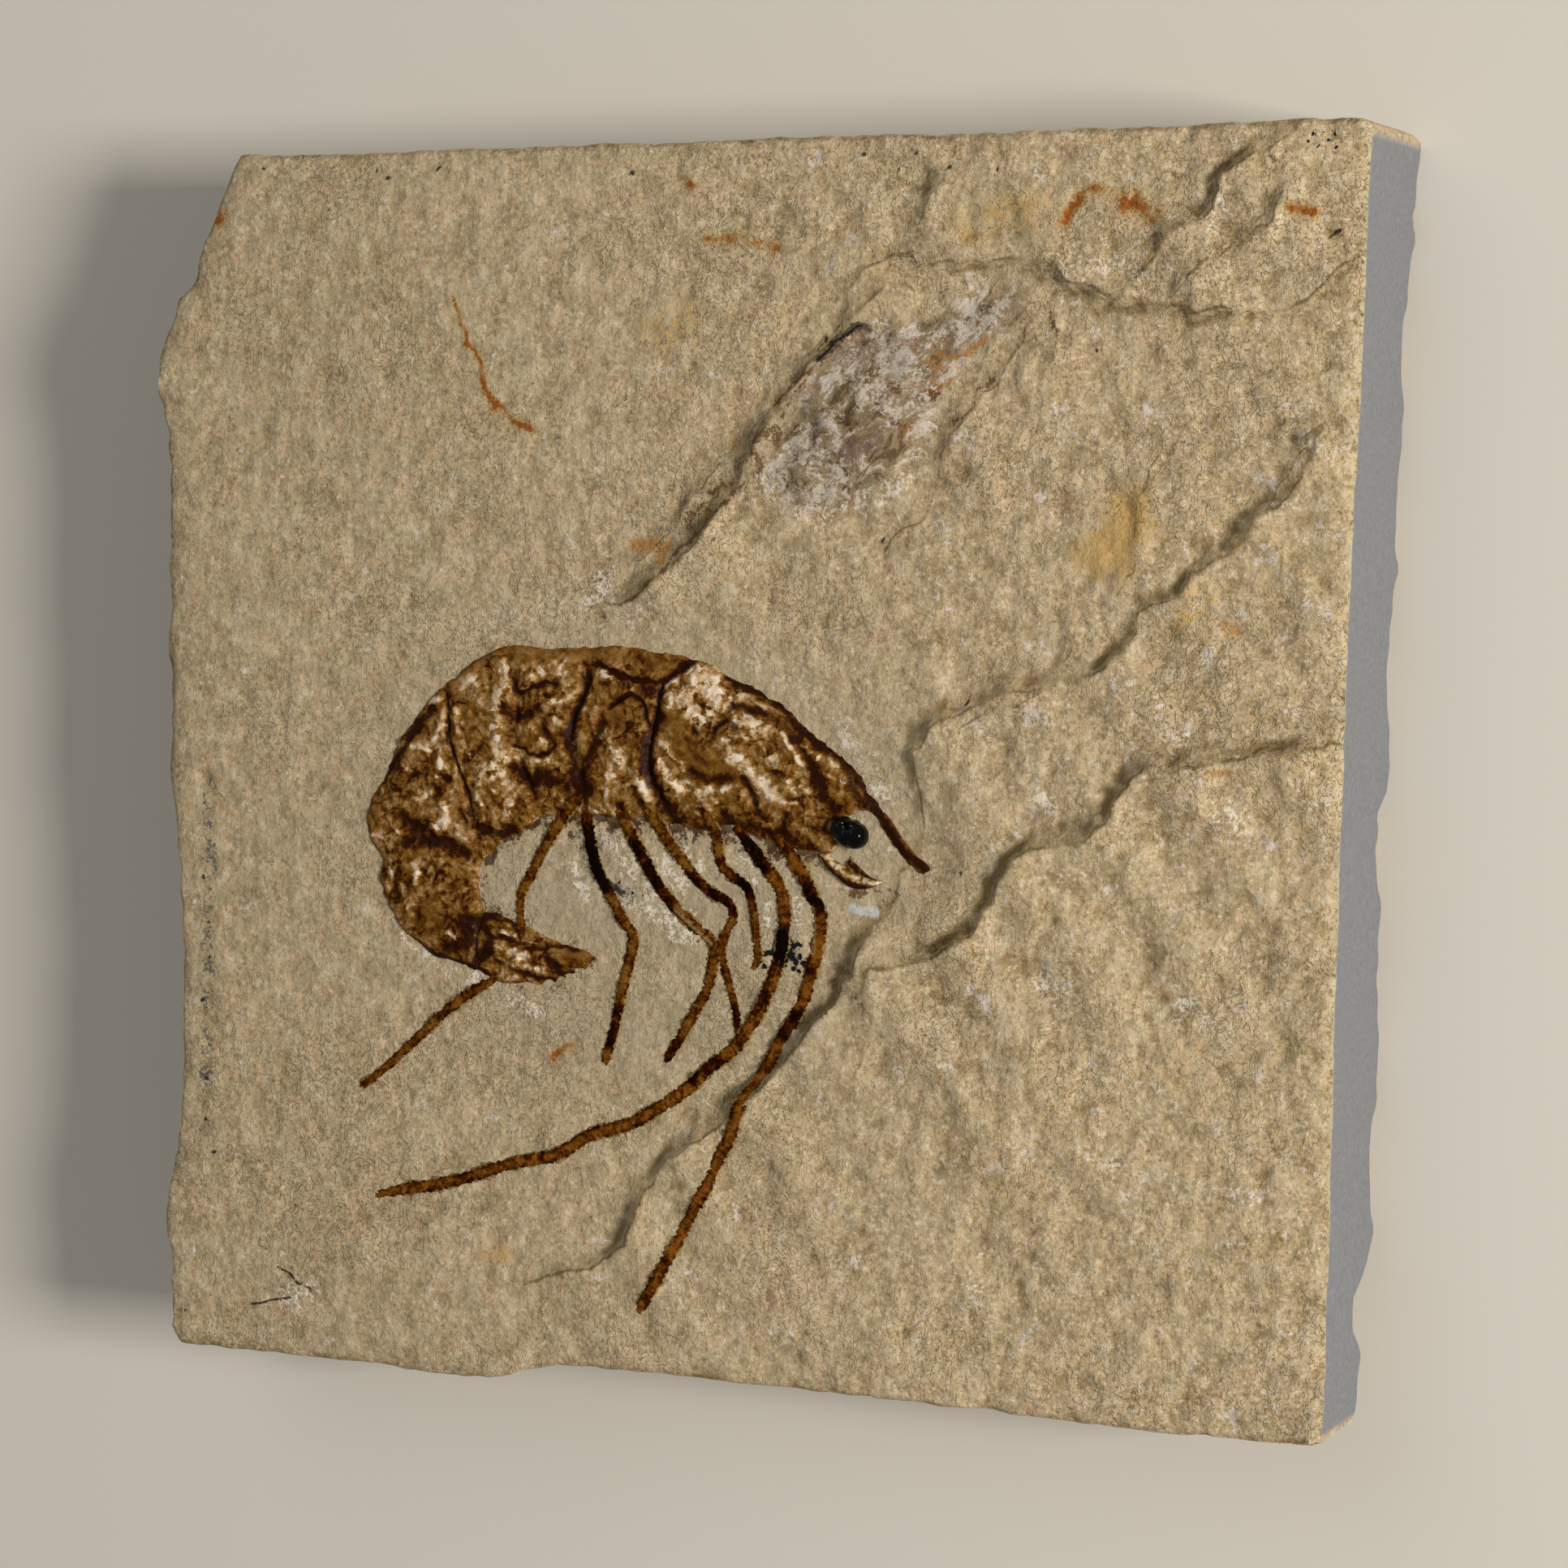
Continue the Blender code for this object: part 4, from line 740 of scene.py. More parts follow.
# The star and the dots of manganese, with a little wander in their outlines
bent = add(tree, "ShaderNodeTexNoise", {"Vector": where, "Scale": 1000 / 0.4, "Detail": 2})[1]
bent = add(tree, "ShaderNodeVectorMath", {0: bent, 1: (0.0006, 0.0006, 0), 2: where},
           operation="MULTIPLY_ADD")[0]
bent = add(tree, "ShaderNodeVectorMath", {0: bent, 1: (1, 1, 0)}, operation="MULTIPLY")[0]
nearest_dot = FAR
for x, y, radius in DOTS:
    centre = ((x - MIDDLE[0] + 0.3) * MM, (y - MIDDLE[1] + 0.3) * MM, 0)    # 0.3 makes up for the mean wander
    away = add(tree, "ShaderNodeVectorMath", {0: bent, 1: centre}, operation="DISTANCE")["Value"]
    away = add(tree, "ShaderNodeMath", {0: away, 1: 1 / (radius * MM)}, operation="MULTIPLY")[0]
    nearest_dot = add(tree, "ShaderNodeMath", {0: away, 1: nearest_dot}, operation="MINIMUM")[0]
inside = add(tree, "ShaderNodeMapRange", {0: nearest_dot, 1: 1.15, 2: 0.85})[0]
tint = add(tree, "ShaderNodeMix", {0: inside, 6: tint, 7: linear("#0A0A0E")}, data_type="RGBA")[2]

# The sawn side: the same stone cut smooth, so bluish grey and plainer, with a fine speckle
speckled = add(tree, "ShaderNodeMapRange", {0: crisp_grain, 1: 0.35, 2: 0.65})[0]
saw_tint = add(tree, "ShaderNodeMix", {0: speckled, 6: linear("#717377"), 7: linear("#83868C")},
               data_type="RGBA")[2]
sawn_part = add(tree, "ShaderNodeAttribute", attribute_name="sawn")["Fac"]
tint = add(tree, "ShaderNodeMix", {0: sawn_part, 6: tint, 7: saw_tint}, data_type="RGBA")[2]

# Grain, chips and flakes too fine for the mesh, fainter on the sawn side, and crumbs on the bulge
roughness = add(tree, "ShaderNodeMath", {0: sawn_part, 1: -0.8, 2: 1}, operation="MULTIPLY_ADD")[0]
crumpled = add(tree, "ShaderNodeTexNoise", {"Vector": bulge_grain, "Scale": 1000 / 0.7, "Detail": 6,
                                            "Roughness": 0.75})[0]
uneven = add(tree, "ShaderNodeMapRange", {0: cloud, 1: 0.4, 2: 0.6, 3: 0.35})[0]
uneven = add(tree, "ShaderNodeMath", {0: uneven, 1: roughness}, operation="MULTIPLY")[0]
bump = add(tree, "ShaderNodeNewGeometry")["Normal"]
for height, distance, strength in ((chips["Distance"], 0.00011, roughness), (grain, 0.00015, roughness),
                                   (crisp_grain, 0.00008, roughness), (flakes, 0.00015, uneven),
                                   (crumpled, 0.0007, bulge_in)):
    bump = add(tree, "ShaderNodeBump", {"Strength": strength, "Distance": distance, "Height": height,
                                        "Normal": bump})[0]
tree.links.new(tint, shader.inputs["Base Color"])
tree.links.new(bump, shader.inputs["Normal"])
slab.data.materials.append(limestone)
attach(slab, "root")
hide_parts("slab")

# The animal's shell
# Carapace, hind body and tail fan: three thin plates of brown mineral that took the place of the shell. They
# were crushed flat on the bed and cracked, and are grown into the stone, so their rims thin out to nothing.

SHELL_CELL = 0.15
RAGGED = 0.12          # how far the rim wanders from the outline
SHELL_SUNK = 0.35      # how far a plate reaches under the bed
RIM_RISE = 0.28        # how quickly the rim stands up from the bed
CROWN = 0.62           # how much higher the middle of a plate stands
CROWN_WIDTH = 1.7

REAR_SEAM = [
    (-4.0, -4.6), (-5.2, -2.6), (-6.2, -0.8), (-6.4, 0.8), (-6.1, 2.8), (-5.6, 4.8), (-5.2, 6.6), (-3.8, 7.6),
    (-2.5, 8.6),
]
CARAPACE_EDGE = [
    (-2.5, 8.6), (-0.7, 8.0), (0, 7.4), (1.9, 6.8), (3.1, 6.2), (4.9, 5.2), (6.3, 4.0), (7.9, 2.7),
    (9.5, 1.7), (10.9, 0.6), (11.7, -0.5), (13.0, -2.3), (14.0, -3.3), (15.2, -5.0), (16.2, -6.1),
    (17.1, -6.7), (17.3, -7.2), (16.7, -7.6), (15.8, -7.2), (14.8, -6.2), (13.5, -4.7), (12.6, -3.4),
    (11.9, -2.9), (10.7, -3.2), (9.7, -3.7), (9.4, -4.8), (9.6, -5.8), (8.9, -6.3), (7.9, -6.3), (5.9, -6.1),
    (3.9, -5.7), (1.9, -4.9), (0.7, -4.5), (-0.9, -4.7), (-2.5, -4.8), (-4.0, -4.6),
]
ABDOMEN_BACK = [
    (-21.2, -17.1), (-23.4, -16.3), (-25.3, -15.9), (-26.7, -15.0), (-28.4, -13.6), (-29.3, -12.3),
    (-29.9, -11.1), (-30.3, -9.8), (-30.1, -8.2), (-30.9, -7.2), (-31.4, -5.9), (-31.5, -5.0), (-31.2, -3.6),
    (-29.9, -1.5), (-28.7, 1.2), (-27.8, 2.5), (-25.9, 4.8), (-24.9, 5.7), (-23.4, 6.9), (-20.7, 8.7),
    (-19.2, 9.2), (-14.7, 9.2), (-12, 9.3), (-8.5, 9.5), (-6, 9.1), (-4, 8.9), (-2.5, 8.6),
]
ABDOMEN_BELLY = [
    (-4.0, -4.6), (-5.4, -4.5), (-7, -4.1), (-8.4, -4.3), (-11.4, -4.1), (-13, -4.3), (-15.9, -4.4),
    (-17, -5.3), (-19, -6.4), (-19.9, -7.3), (-20.9, -8.2), (-21.2, -10.3), (-20.7, -11.9),
]
TAIL_SEAM = [(-20.7, -11.9), (-21.4, -14.3), (-21.2, -17.1)]
TAIL_EDGE = [
    (-20.7, -11.9), (-19.5, -12.0), (-18.2, -12.6), (-16.9, -12.9), (-14.5, -14.0), (-12.9, -14.4),
    (-11.9, -14.6), (-10.7, -15.4), (-11.5, -15.9), (-11.8, -16.4), (-12.7, -16.3), (-12.5, -16.8),
    (-13.4, -16.7), (-13.4, -17.3), (-14.0, -17.1), (-14.4, -17.6), (-15, -17.3), (-15.6, -17.8),
    (-17, -17.7), (-19.5, -17.8), (-21.2, -17.1),
]

# Creases between the rings and in the shell: depth, half width, line
CREASES = [
    (0.3, 0.3, REAR_SEAM), (0.25, 0.3, TAIL_SEAM),
    (0.3, 0.35, [(-11.9, 8.6), (-11.8, 6.6), (-12.3, 4.8), (-13, 3.4), (-12.9, 1.8), (-12.1, -0.5),
        (-12.4, -3.6)]), (0.25, 0.35, [(-18.9, 8.6), (-17.8, 5.2), (-18.1, 1.5), (-17, -1), (-16.3, -3.6)]),
    (0.25, 0.3, [(-24.3, 5.6), (-23.9, 2.5), (-22.8, -1), (-21.7, -3.6), (-21.5, -5.6)]),
    (0.3, 0.5, [(-30.6, -5.8), (-27, -6.2), (-23.6, -6.6), (-21.6, -8)]),
    (0.25, 0.4, [(-29.6, -10.6), (-26.5, -10.4), (-21.9, -10.6)]),
    (0.2, 0.3, [(-12, 7.9), (-9.6, 7.4), (-6.4, 6.7), (-4.2, 7.5), (-2.4, 8.5)]),
    (0.18, 0.25, [(-9.6, 4.6), (-8.8, 5.3), (-7.6, 5.6), (-6.8, 4.9), (-6.4, 3.3)]),
    (0.25, 0.35, [(-5, 0.3), (-3.8, -1.2), (-2, -1.8), (1.5, -1.0), (2.6, -2.4)]),
    (0.2, 0.3, [(0, 6.3), (4.5, 4.2), (9, 1.2), (12, -1.4)]),
    (0.2, 0.3, [(3.8, 2.6), (7.4, -1.2), (7.9, -3.6)]),
]
DARK = [
    (0.22, 1, REAR_SEAM), (0.25, 0.8, TAIL_SEAM),
    (0.5, 1, [(-5.3, 4.1), (-6.1, 2.6), (-6.4, 0.7), (-6.1, -0.9), (-5.3, -2.3), (-4.4, -3.5), (-4, -4.3)]),
    (0.42, 1, [(0, 7.3), (1.5, 6.7), (3.3, 5.9), (4.8, 5.0), (6, 3.8), (7.5, 2.6), (9.2, 1.6), (10.8, 0.4)]),
    (0.42, 0.95, [(10.8, 0.4), (11.7, -0.9), (12.8, -2.6), (14.0, -4.3), (15.4, -6.0), (16.9, -7.1)]),
    (0.3, 0.8, [(-8.5, -4.4), (-8.9, -3.0)]), (0.3, 0.8, [(-1.1, -4.0), (-2.1, -2.9)]),
    (0.35, 0.9, [(1, -4.6), (0, -3.3)]), (0.35, 0.9, [(5, -5.8), (3.8, -4.6)]),
    (0.3, 0.8, [(-5.9, -4.3), (-6.8, -3.0)]),
    (0.45, 0.75, [(0.6, 5.0), (2.0, 4.9), (3.2, 4.5), (4.4, 3.9), (5.3, 3.2), (6.3, 2.2), (7.4, 0.8),
        (8, -0.6)]), (0.6, 0.7, [(8, -0.6), (8.7, -2.0), (9.4, -3.0)]),
    (0.6, 0.6, [(10.2, 0.2), (10.8, -1.2), (11.4, -2.2)]),
    (0.3, 0.9, [(1.8, -0.5), (2.4, -1.5), (2.8, -2.6)]), (0.5, 0.6, [(-2.6, -4.2), (0.4, -4.2), (3, -4.4)]),
    (0.45, 0.7, [(4.6, -4.6), (6.2, -5.6), (7.8, -6.0)]), (0.35, 0.7, [(5.2, -3.2), (5.2, -4.6)]),
    (0.4, 0.6, [(2.9, -3.0), (4.2, -3.8)]), (0.25, 0.7, [(-0.7, 3.0), (0.3, 3.9), (1.3, 3.2)]),
    (0.5, 0.7, [(-2.6, -0.2), (-1, -0.9), (0.6, -0.7)]), (0.3, 0.5, [(-2.8, 1.4), (-1.2, 0.3)]),
    (0.25, 1, [(-12, 7.9), (-10.8, 7.9), (-9.6, 7.4), (-8.2, 6.9), (-6.4, 6.7), (-5.2, 6.8), (-4.2, 7.5),
        (-3.1, 8.3), (-2.3, 8.6)]),
    (0.2, 1, [(-9.6, 4.6), (-8.8, 5.3), (-7.6, 5.6), (-6.9, 5.1), (-6.6, 4.3), (-6.4, 3.3)]),
    (0.38, 1, [(-11.7, 7.3), (-11.6, 6.6), (-12.1, 5.4), (-12.7, 4.2), (-13.0, 3.0), (-13.3, 1.8)]),
    (0.3, 0.8, [(-13.3, 1.8), (-12.8, 0.4), (-12.5, -0.8)]),
    (0.6, 1, [(-12.5, -0.8), (-12.3, -2.0), (-11.4, -2.0)]),
    (0.45, 1, [(-12.4, -2), (-13.3, -3.5), (-14.2, -4.6)]), (0.3, 0.9, [(-11.9, -2.2), (-11.8, -4.2)]),
    (0.14, 1, [(-18.8, 8.0), (-18.3, 6.6), (-17.6, 5.4), (-16.4, 6.0), (-15.2, 6.4), (-14.2, 6.3)]),
    (0.16, 1, [(-18.3, 1.4), (-17.4, 1.1), (-16.6, 0.7), (-15.7, 0.6), (-14.9, 0.9), (-14.4, 1.5)]),
    (0.5, 0.9, [(-18.2, -0.3), (-17.2, -0.9), (-16.3, -1.8), (-15.6, -0.8), (-14.7, -1.3), (-13.4, -1.9)]),
    (0.14, 1, [(-24.1, 5.2), (-23.9, 3.6), (-23.9, 2.2), (-23.5, 0.9), (-23.1, -0.4), (-22.4, -1.8),
        (-21.9, -3.4), (-21.7, -5.4)]), (0.2, 1, [(-23.9, 2.2), (-23.6, 1.0), (-23.3, 0.1)]),
    (0.5, 0.7, [(-19.2, 4.2), (-17.6, 3.6), (-16, 4.2)]),
    (0.33, 0.9, [(-25.4, 4.2), (-26.5, 3.0), (-27.6, 1.2), (-28.8, -0.3), (-29.7, -1.6)]),
    (0.9, 0.8, [(-27.6, -4.8), (-26.7, -5.6), (-27.2, -6.6)]),
    (0.6, 0.75, [(-26.4, -6.6), (-24.5, -6.5), (-22.4, -7.6)]),
    (0.4, 0.9, [(-21.2, -5.2), (-20, -5.6), (-19, -5.9), (-18.2, -5.3)]),
    (0.3, 0.7, [(-22.7, -4.2), (-22.2, -4.9)]),
    (0.45, 0.9, [(-22.6, -12.5), (-21.2, -12.9), (-20.2, -12.3), (-19, -12.2), (-17.9, -12.6)]),
    (0.5, 0.9, [(-22.4, -13.2), (-21.8, -14.3), (-22.8, -15.0), (-24.2, -15.0)]),
    (0.45, 0.85, [(-20.6, -13.4), (-20.1, -14.6), (-21, -15.7)]), (0.3, 0.6, [(-28.3, -9.0), (-28.6, -10.8)]),
    (0.28, 0.9, [(-26.8, -14.9), (-25, -15.7), (-23, -16.2), (-21, -16.7), (-19.9, -17.4)]),
    (0.2, 0.8, [(-19.4, -13.9), (-17.6, -14.4), (-15.8, -14.8), (-14, -14.5), (-12.4, -14.7)]),
    (0.2, 0.8, [(-19.6, -15.9), (-17.5, -16.7), (-15.2, -17.2), (-13.6, -17.2)]),
    (0.4, 0.9, [(-15, -15.4), (-14.1, -16.5)]), (0.25, 0.7, [(-17.7, -12.7), (-17.5, -14.4)]),
    (0.6, 0.55, [(-11.4, 0.4), (-10.2, 3.2)]), (0.3, 0.8, [(-24.8, -1.0), (-23.7, -1.6)]),
    (0.35, 0.6, [(-7.4, 8.6), (-6.6, 8.0)]), (0.5, 0.5, [(-6.9, 6.2), (-5.6, 5.9)]),
    (0.2, 0.8, [(-7.6, -1.6), (-7.0, -2.9), (-6.0, -3.8)]), (0.35, 0.6, [(-15.6, 2.6), (-14.4, 2.2)]),
]
PALE = [
    (0.22, 1, [(-4.9, 6.4), (-3.9, 7.0)]), (0.75, 0.85, [(-4.6, 5.4), (-3, 5.6), (-2.2, 7.4), (-0.8, 7.0)]),
    (0.8, 0.85, [(-2, 6.2), (-0.3, 5.9), (-0.6, 5.0)]), (0.6, 0.75, [(-2.7, 4.6), (-1.5, 3.7), (-0.9, 4.6)]),
    (0.3, 0.8, [(0.4, 5.1), (1.4, 5.8), (2.4, 5.5)]), (0.14, 1, [(2.4, 5.4), (3.7, 4.8)]),
    (0.65, 0.75, [(0.9, 4.1), (2.2, 3.7), (3.4, 3.1)]), (0.3, 0.7, [(-0.3, 2.2), (0.9, 2.5), (2, 2.6)]),
    (0.6, 0.9, [(0.8, 1.2), (1.6, 0.8), (2.6, -0.2), (3.7, -1.3), (4.2, -2.0)]),
    (0.45, 0.8, [(3.6, 1.4), (4.5, 0.7)]), (0.2, 0.95, [(5.0, 3.0), (5.9, 1.7), (6.6, 0.7), (7.2, -0.2)]),
    (0.45, 0.7, [(5.4, -1.0), (6.4, -1.4), (7.2, -1.4)]), (0.14, 0.9, [(5.0, -2.3), (6.3, -2.4)]),
    (0.35, 0.9, [(-5.2, 1.9), (-4.7, 1.7)]), (0.15, 0.6, [(-4.6, 1.2), (-3.4, 0.4)]),
    (0.3, 1, [(-5.3, 0.5), (-4.8, -0.4), (-4.2, -1.2), (-3.7, -1.7)]),
    (0.14, 0.7, [(-3.8, -1.0), (-2.4, -1.2)]),
    (0.26, 1, [(-2.3, -1.8), (-1.0, -1.6), (0.2, -1.5), (1.2, -1.1)]),
    (0.2, 0.6, [(6.6, 2.2), (7.4, 1.6), (7.9, 1.1)]), (0.16, 0.65, [(9.0, 0.9), (9.8, 0.1), (10.2, -0.7)]),
    (0.13, 0.7, [(-3.4, -2.8), (-1.6, -2.9), (-0.2, -2.6)]),
    (0.45, 0.9, [(-18.9, 7.6), (-18.8, 6.4), (-19.3, 5.4), (-19.6, 4.4), (-19.5, 3.2), (-19.5, 2.0)]),
    (0.45, 0.85, [(-19.3, 0.9), (-18.8, 0.2), (-20.3, -0.6), (-21, -1.6)]),
    (0.25, 0.9, [(-19.9, -1.2), (-18.9, -0.9)]), (0.3, 0.65, [(-16.9, 6.7), (-15.8, 7.2), (-14.6, 7.9)]),
    (0.22, 0.95, [(-14.8, 4.9), (-13.6, 5.0), (-12.7, 5.6)]), (0.3, 1, [(-14.4, 3.4), (-13.9, 3.2)]),
    (0.25, 0.8, [(-15.6, 1.8), (-15.2, 1.3)]), (0.3, 0.85, [(-16, 0.3), (-14.8, 0.2)]),
    (0.35, 0.85, [(-22.8, 5.8), (-22, 6.6), (-21.3, 6.1)]), (0.28, 0.7, [(-25.6, 4.5), (-24.8, 4.9)]),
    (0.3, 0.9, [(-24.3, 3.7), (-24.6, 2.6), (-25.2, 1.6)]), (0.3, 0.75, [(-23.3, 3.8), (-22.9, 2.3)]),
    (0.3, 0.9, [(-24.5, 0.9), (-24.6, -0.4), (-24.7, -1.6)]), (0.22, 0.8, [(-26.3, 0.9), (-25.4, 0.8)]),
    (0.28, 0.7, [(-22.1, 0.7), (-21.8, 0.1)]), (0.4, 1, [(-26.5, -3.4), (-25.9, -2.9), (-25.2, -2.6)]),
    (0.42, 1, [(-24.7, -5.2), (-24, -4.7), (-24.4, -3.6)]),
    (0.3, 1, [(-26.7, -8.5), (-26.5, -9.2), (-26.7, -9.9)]), (0.3, 0.8, [(-21.2, -2.6), (-20.9, -3.6)]),
    (0.45, 0.55, [(-18.6, -1.8), (-18.3, -3.0), (-18.6, -4.2)]),
    (0.6, 0.5, [(-10, 2.4), (-9.2, 1.6), (-8.8, 0.3), (-9.6, -0.8)]),
    (0.4, 0.85, [(-7.0, -1.2), (-6.5, -2.2)]), (0.16, 0.95, [(-10.4, 7.3), (-9.5, 6.9)]),
    (0.14, 0.7, [(-30.8, -6.3), (-29.2, -6.4), (-28.4, -5.9)]), (0.35, 0.5, [(-29.2, -8.2), (-28.9, -9.6)]),
    (0.18, 0.85, [(-19.2, -13.6), (-17.8, -13.8)]),
    (0.28, 0.8, [(-19.3, -14.9), (-18, -15.1), (-16.6, -15.4)]),
    (0.2, 0.75, [(-18.6, -16.2), (-16.8, -16.3), (-15.4, -16.6)]),
    (0.2, 0.7, [(-23.8, -13.9), (-23.2, -14.2)]), (0.35, 0.5, [(-12.2, -3.6), (-9.4, -3.4)]),
    (0.14, 0.7, [(-27.4, -11.3), (-26.8, -11.6)]),
]
SMOOTH = [
    (1.3, 1, [(-3.6, 1.4), (-1.6, 0.6), (0.6, -0.4)]), (0.9, 1, [(-5.2, 4.2), (-3.8, 3.4)]),
    (0.75, 1, [(-13, 8.7), (-9, 8.6), (-5, 8.1)]), (0.7, 0.9, [(-25.4, 5.0), (-21, 8.2), (-15, 8.8)]),
    (0.9, 0.7, [(-30.6, -4), (-30.8, -6)]), (1.1, 1, [(-9.2, 4.4), (-7.9, 4.7)]),
    (1.4, 0.7, [(-25.5, -12.4), (-23.4, -13)]), (0.8, 1, [(-13.6, -15.0), (-12, -15.3)]),
    (1.0, 0.6, [(-22.4, 3.6), (-21.2, 2.2)]), (0.5, 1, [(12.2, -1.6), (14.4, -4.4), (16.8, -7)]),
]
BODY_LINE = [
    (-11, -15.5), (-16, -15.2), (-21, -14.5), (-25.3, -11.5), (-26.2, -7), (-25.6, -3), (-22.5, 1), (-18, 3),
    (-12, 3), (-6, 2.5), (0, 1.8), (5, 0), (10, -2.5), (17, -8),
]


def ragged_ring(sides, cell, roughness):
    """A closed clockwise ring of points a cell apart with an uneven edge. Its sides are lines that end at its
    corners, and where two plates share a side, both follow it in the same way."""
    closed = np.vstack([curve(side, 0.5)[:-1] for side in sides] + [sides[0][:1]])
    ring = evenly(closed, round(np.linalg.norm(np.diff(closed, axis=0), axis=1).sum() / cell))[:-1]
    shift = np.stack([lumps(ring, 0.8, 32.0) + 0.7 * lumps(ring, 0.35, 33.0),
                      lumps(ring, 0.8, 49.0) + 0.7 * lumps(ring, 0.35, 50.0)], 1)
    return ring + roughness * shift


def depth_inside(spots, ring):
    """How deep each spot lies inside a closed clockwise ring."""
    return nearest(spots, np.vstack([ring, ring[:1]]))[0]


def sheet_piece(name, ring, cell, top_height, low):
    """A closed thin piece: a fine top over a clockwise ring, and a flat underside."""
    low_x, low_y = ring.min(0)
    high_x, high_y = ring.max(0)
    rows = enumerate(np.arange(low_y, high_y, cell * 0.87))
    grid = np.array([(x, y) for i, y in rows for x in np.arange(low_x + (i % 2) * cell / 2, high_x, cell)])
    grid = grid[depth_inside(grid, ring) > cell * 0.6]
    count = len(ring)
    spots = [Vector(p) for p in np.vstack([ring, grid])]
    spots, _, faces, sources, _, _ = delaunay_2d_cdt(spots, [], [list(range(count))[::-1]], 1, 1e-5)
    place = {old: new for new, olds in enumerate(sources) for old in olds}
    rim = [place[i] for i in range(count)]
    spots = np.array([tuple(p) for p in spots])
    below = delaunay_2d_cdt([Vector(p) for p in ring], [], [list(range(count))[::-1]], 1, 1e-5)
    base = len(spots)
    corners = np.vstack([np.column_stack([spots, top_height(spots)]),
                         np.column_stack([ring, np.full(count, low)])])
    faces = [list(face) for face in faces]
    faces += [[base + next(iter(below[3][i])) for i in face][::-1] for face in below[2]]
    for i in range(count):
        j = (i + 1) % count
        faces += [(rim[i], rim[j], base + j, base + i)]
    return new_piece(name, corners, faces), spots, count


def shell_height(crown):
    """The height of a crushed plate over the whole animal's outline, as a function of the spots."""
    def height(spots):
        deep = np.maximum(depth_inside(spots, animal_ring), 0)
        warped = spots + 0.15 * np.stack([lumps(spots, 0.7, 34.0), lumps(spots, 0.7, 35.0)], 1)
        rise = RIM_RISE * soft_step(deep / 0.4) + crown * (1 - np.exp(-deep / CROWN_WIDTH))
        for depth, half, line in CREASES:
            across = nearest(warped, curve(line, 0.8))[0]
            rise -= depth * np.exp(-((across / half) ** 2)) * soft_step(deep / 0.5)
        crumpled = 0.22 * lumps(warped, 2.1, 36.0) - 0.3 * np.abs(lumps(warped, 1.1, 37.0))
        crumpled += 0.09 * lumps(spots, 0.42, 38.0)
        worked = 0.13 * brushed(warped, PALE) - 0.16 * brushed(warped, DARK)
        calm = 1 - 0.75 * brushed(warped, SMOOTH)
        lowest = 0.3 * soft_step(deep / 0.5)
        return BED - 0.1 + np.maximum(rise + (crumpled * calm + worked) * soft_step(deep / 0.5), lowest)
    return height


def mark_shell(piece, spots, count, fibre_size, fibre_strength):
    """Stores what the shell's colour follows: cracks, pale crystals, smooth parts, fibres and the rim."""
    warped = spots + 0.2 * np.stack([lumps(spots, 0.6, 39.0), lumps(spots, 0.6, 40.0)], 1)
    right, along = nearest(spots, curve(BODY_LINE, 0.8))[:2]
    fibres = lumps(np.column_stack([along / fibre_size[0], right / fibre_size[1]]), 1.0, 41.0)
    fibres += 0.5 * lumps(np.column_stack([along / fibre_size[0], right / fibre_size[1]]), 0.45, 42.0)
    for title, values in (("dark", brushed(warped, DARK)), ("pale", brushed(warped, PALE)),
                          ("smooth", brushed(warped, SMOOTH)), ("fibres", fibres * fibre_strength),
                          ("rim", np.maximum(depth_inside(spots, animal_ring), 0))):
        mark(piece, title, np.concatenate([values, np.zeros(count)]))


animal_ring = ragged_ring([ABDOMEN_BACK, CARAPACE_EDGE, ABDOMEN_BELLY, TAIL_EDGE], SHELL_CELL, RAGGED)

# Brown fossil shell: apatite and calcite stained by iron. A dark brown film with a faint gloss, torn by cracks
# that are nearly black and by crushed crystals that show pinkish white.
fossil_shell, tree, shader = new_material("iron_stained_fossil_shell",
                                          {"Roughness": 0.36, "Specular IOR Level": 0.08, "IOR": 1.5})
where = add(tree, "ShaderNodeTexCoord")["Object"]
clouds = add(tree, "ShaderNodeTexNoise", {"Vector": where, "Scale": 1000 / 2.4, "Detail": 9, "Roughness": 0.72,
                                          "Distortion": 0.9})
crumbs = add(tree, "ShaderNodeTexNoise", {"Vector": where, "Scale": 1000 / 0.5, "Detail": 4,
                                          "Roughness": 0.7})[0]
bent = add(tree, "ShaderNodeVectorMath", {0: clouds[1], 1: (0.0012, 0.0012, 0.0012), 2: where},
           operation="MULTIPLY_ADD")[0]
flakes = add(tree, "ShaderNodeTexVoronoi", {"Vector": bent, "Scale": 1000 / 0.5})["Color"]
flakes = add(tree, "ShaderNodeSeparateXYZ", {0: flakes})[0]
crazing = add(tree, "ShaderNodeTexVoronoi", {"Vector": bent, "Scale": 1000 / 1.5},
              feature="DISTANCE_TO_EDGE")[0]
crazing = add(tree, "ShaderNodeMapRange", {0: crazing, 1: 0.09, 2: 0.02})[0]
crazed = add(tree, "ShaderNodeTexNoise", {"Vector": where, "Scale": 1000 / 3.5, "Detail": 2})[0]
crazed = add(tree, "ShaderNodeMapRange", {0: crazed, 1: 0.45, 2: 0.6, 4: 0.3})[0]
fibres, dark, pale, smooth, rim = (add(tree, "ShaderNodeAttribute", attribute_name=title)["Fac"]
                                   for title in ("fibres", "dark", "pale", "smooth", "rim"))
lively = add(tree, "ShaderNodeMath", {0: smooth, 1: -0.6, 2: 1}, operation="MULTIPLY_ADD")[0]
swing = add(tree, "ShaderNodeMath", {0: clouds[0], 1: 0.5}, operation="SUBTRACT")[0]
swing = add(tree, "ShaderNodeMath", {0: swing, 1: 2.3}, operation="MULTIPLY")[0]
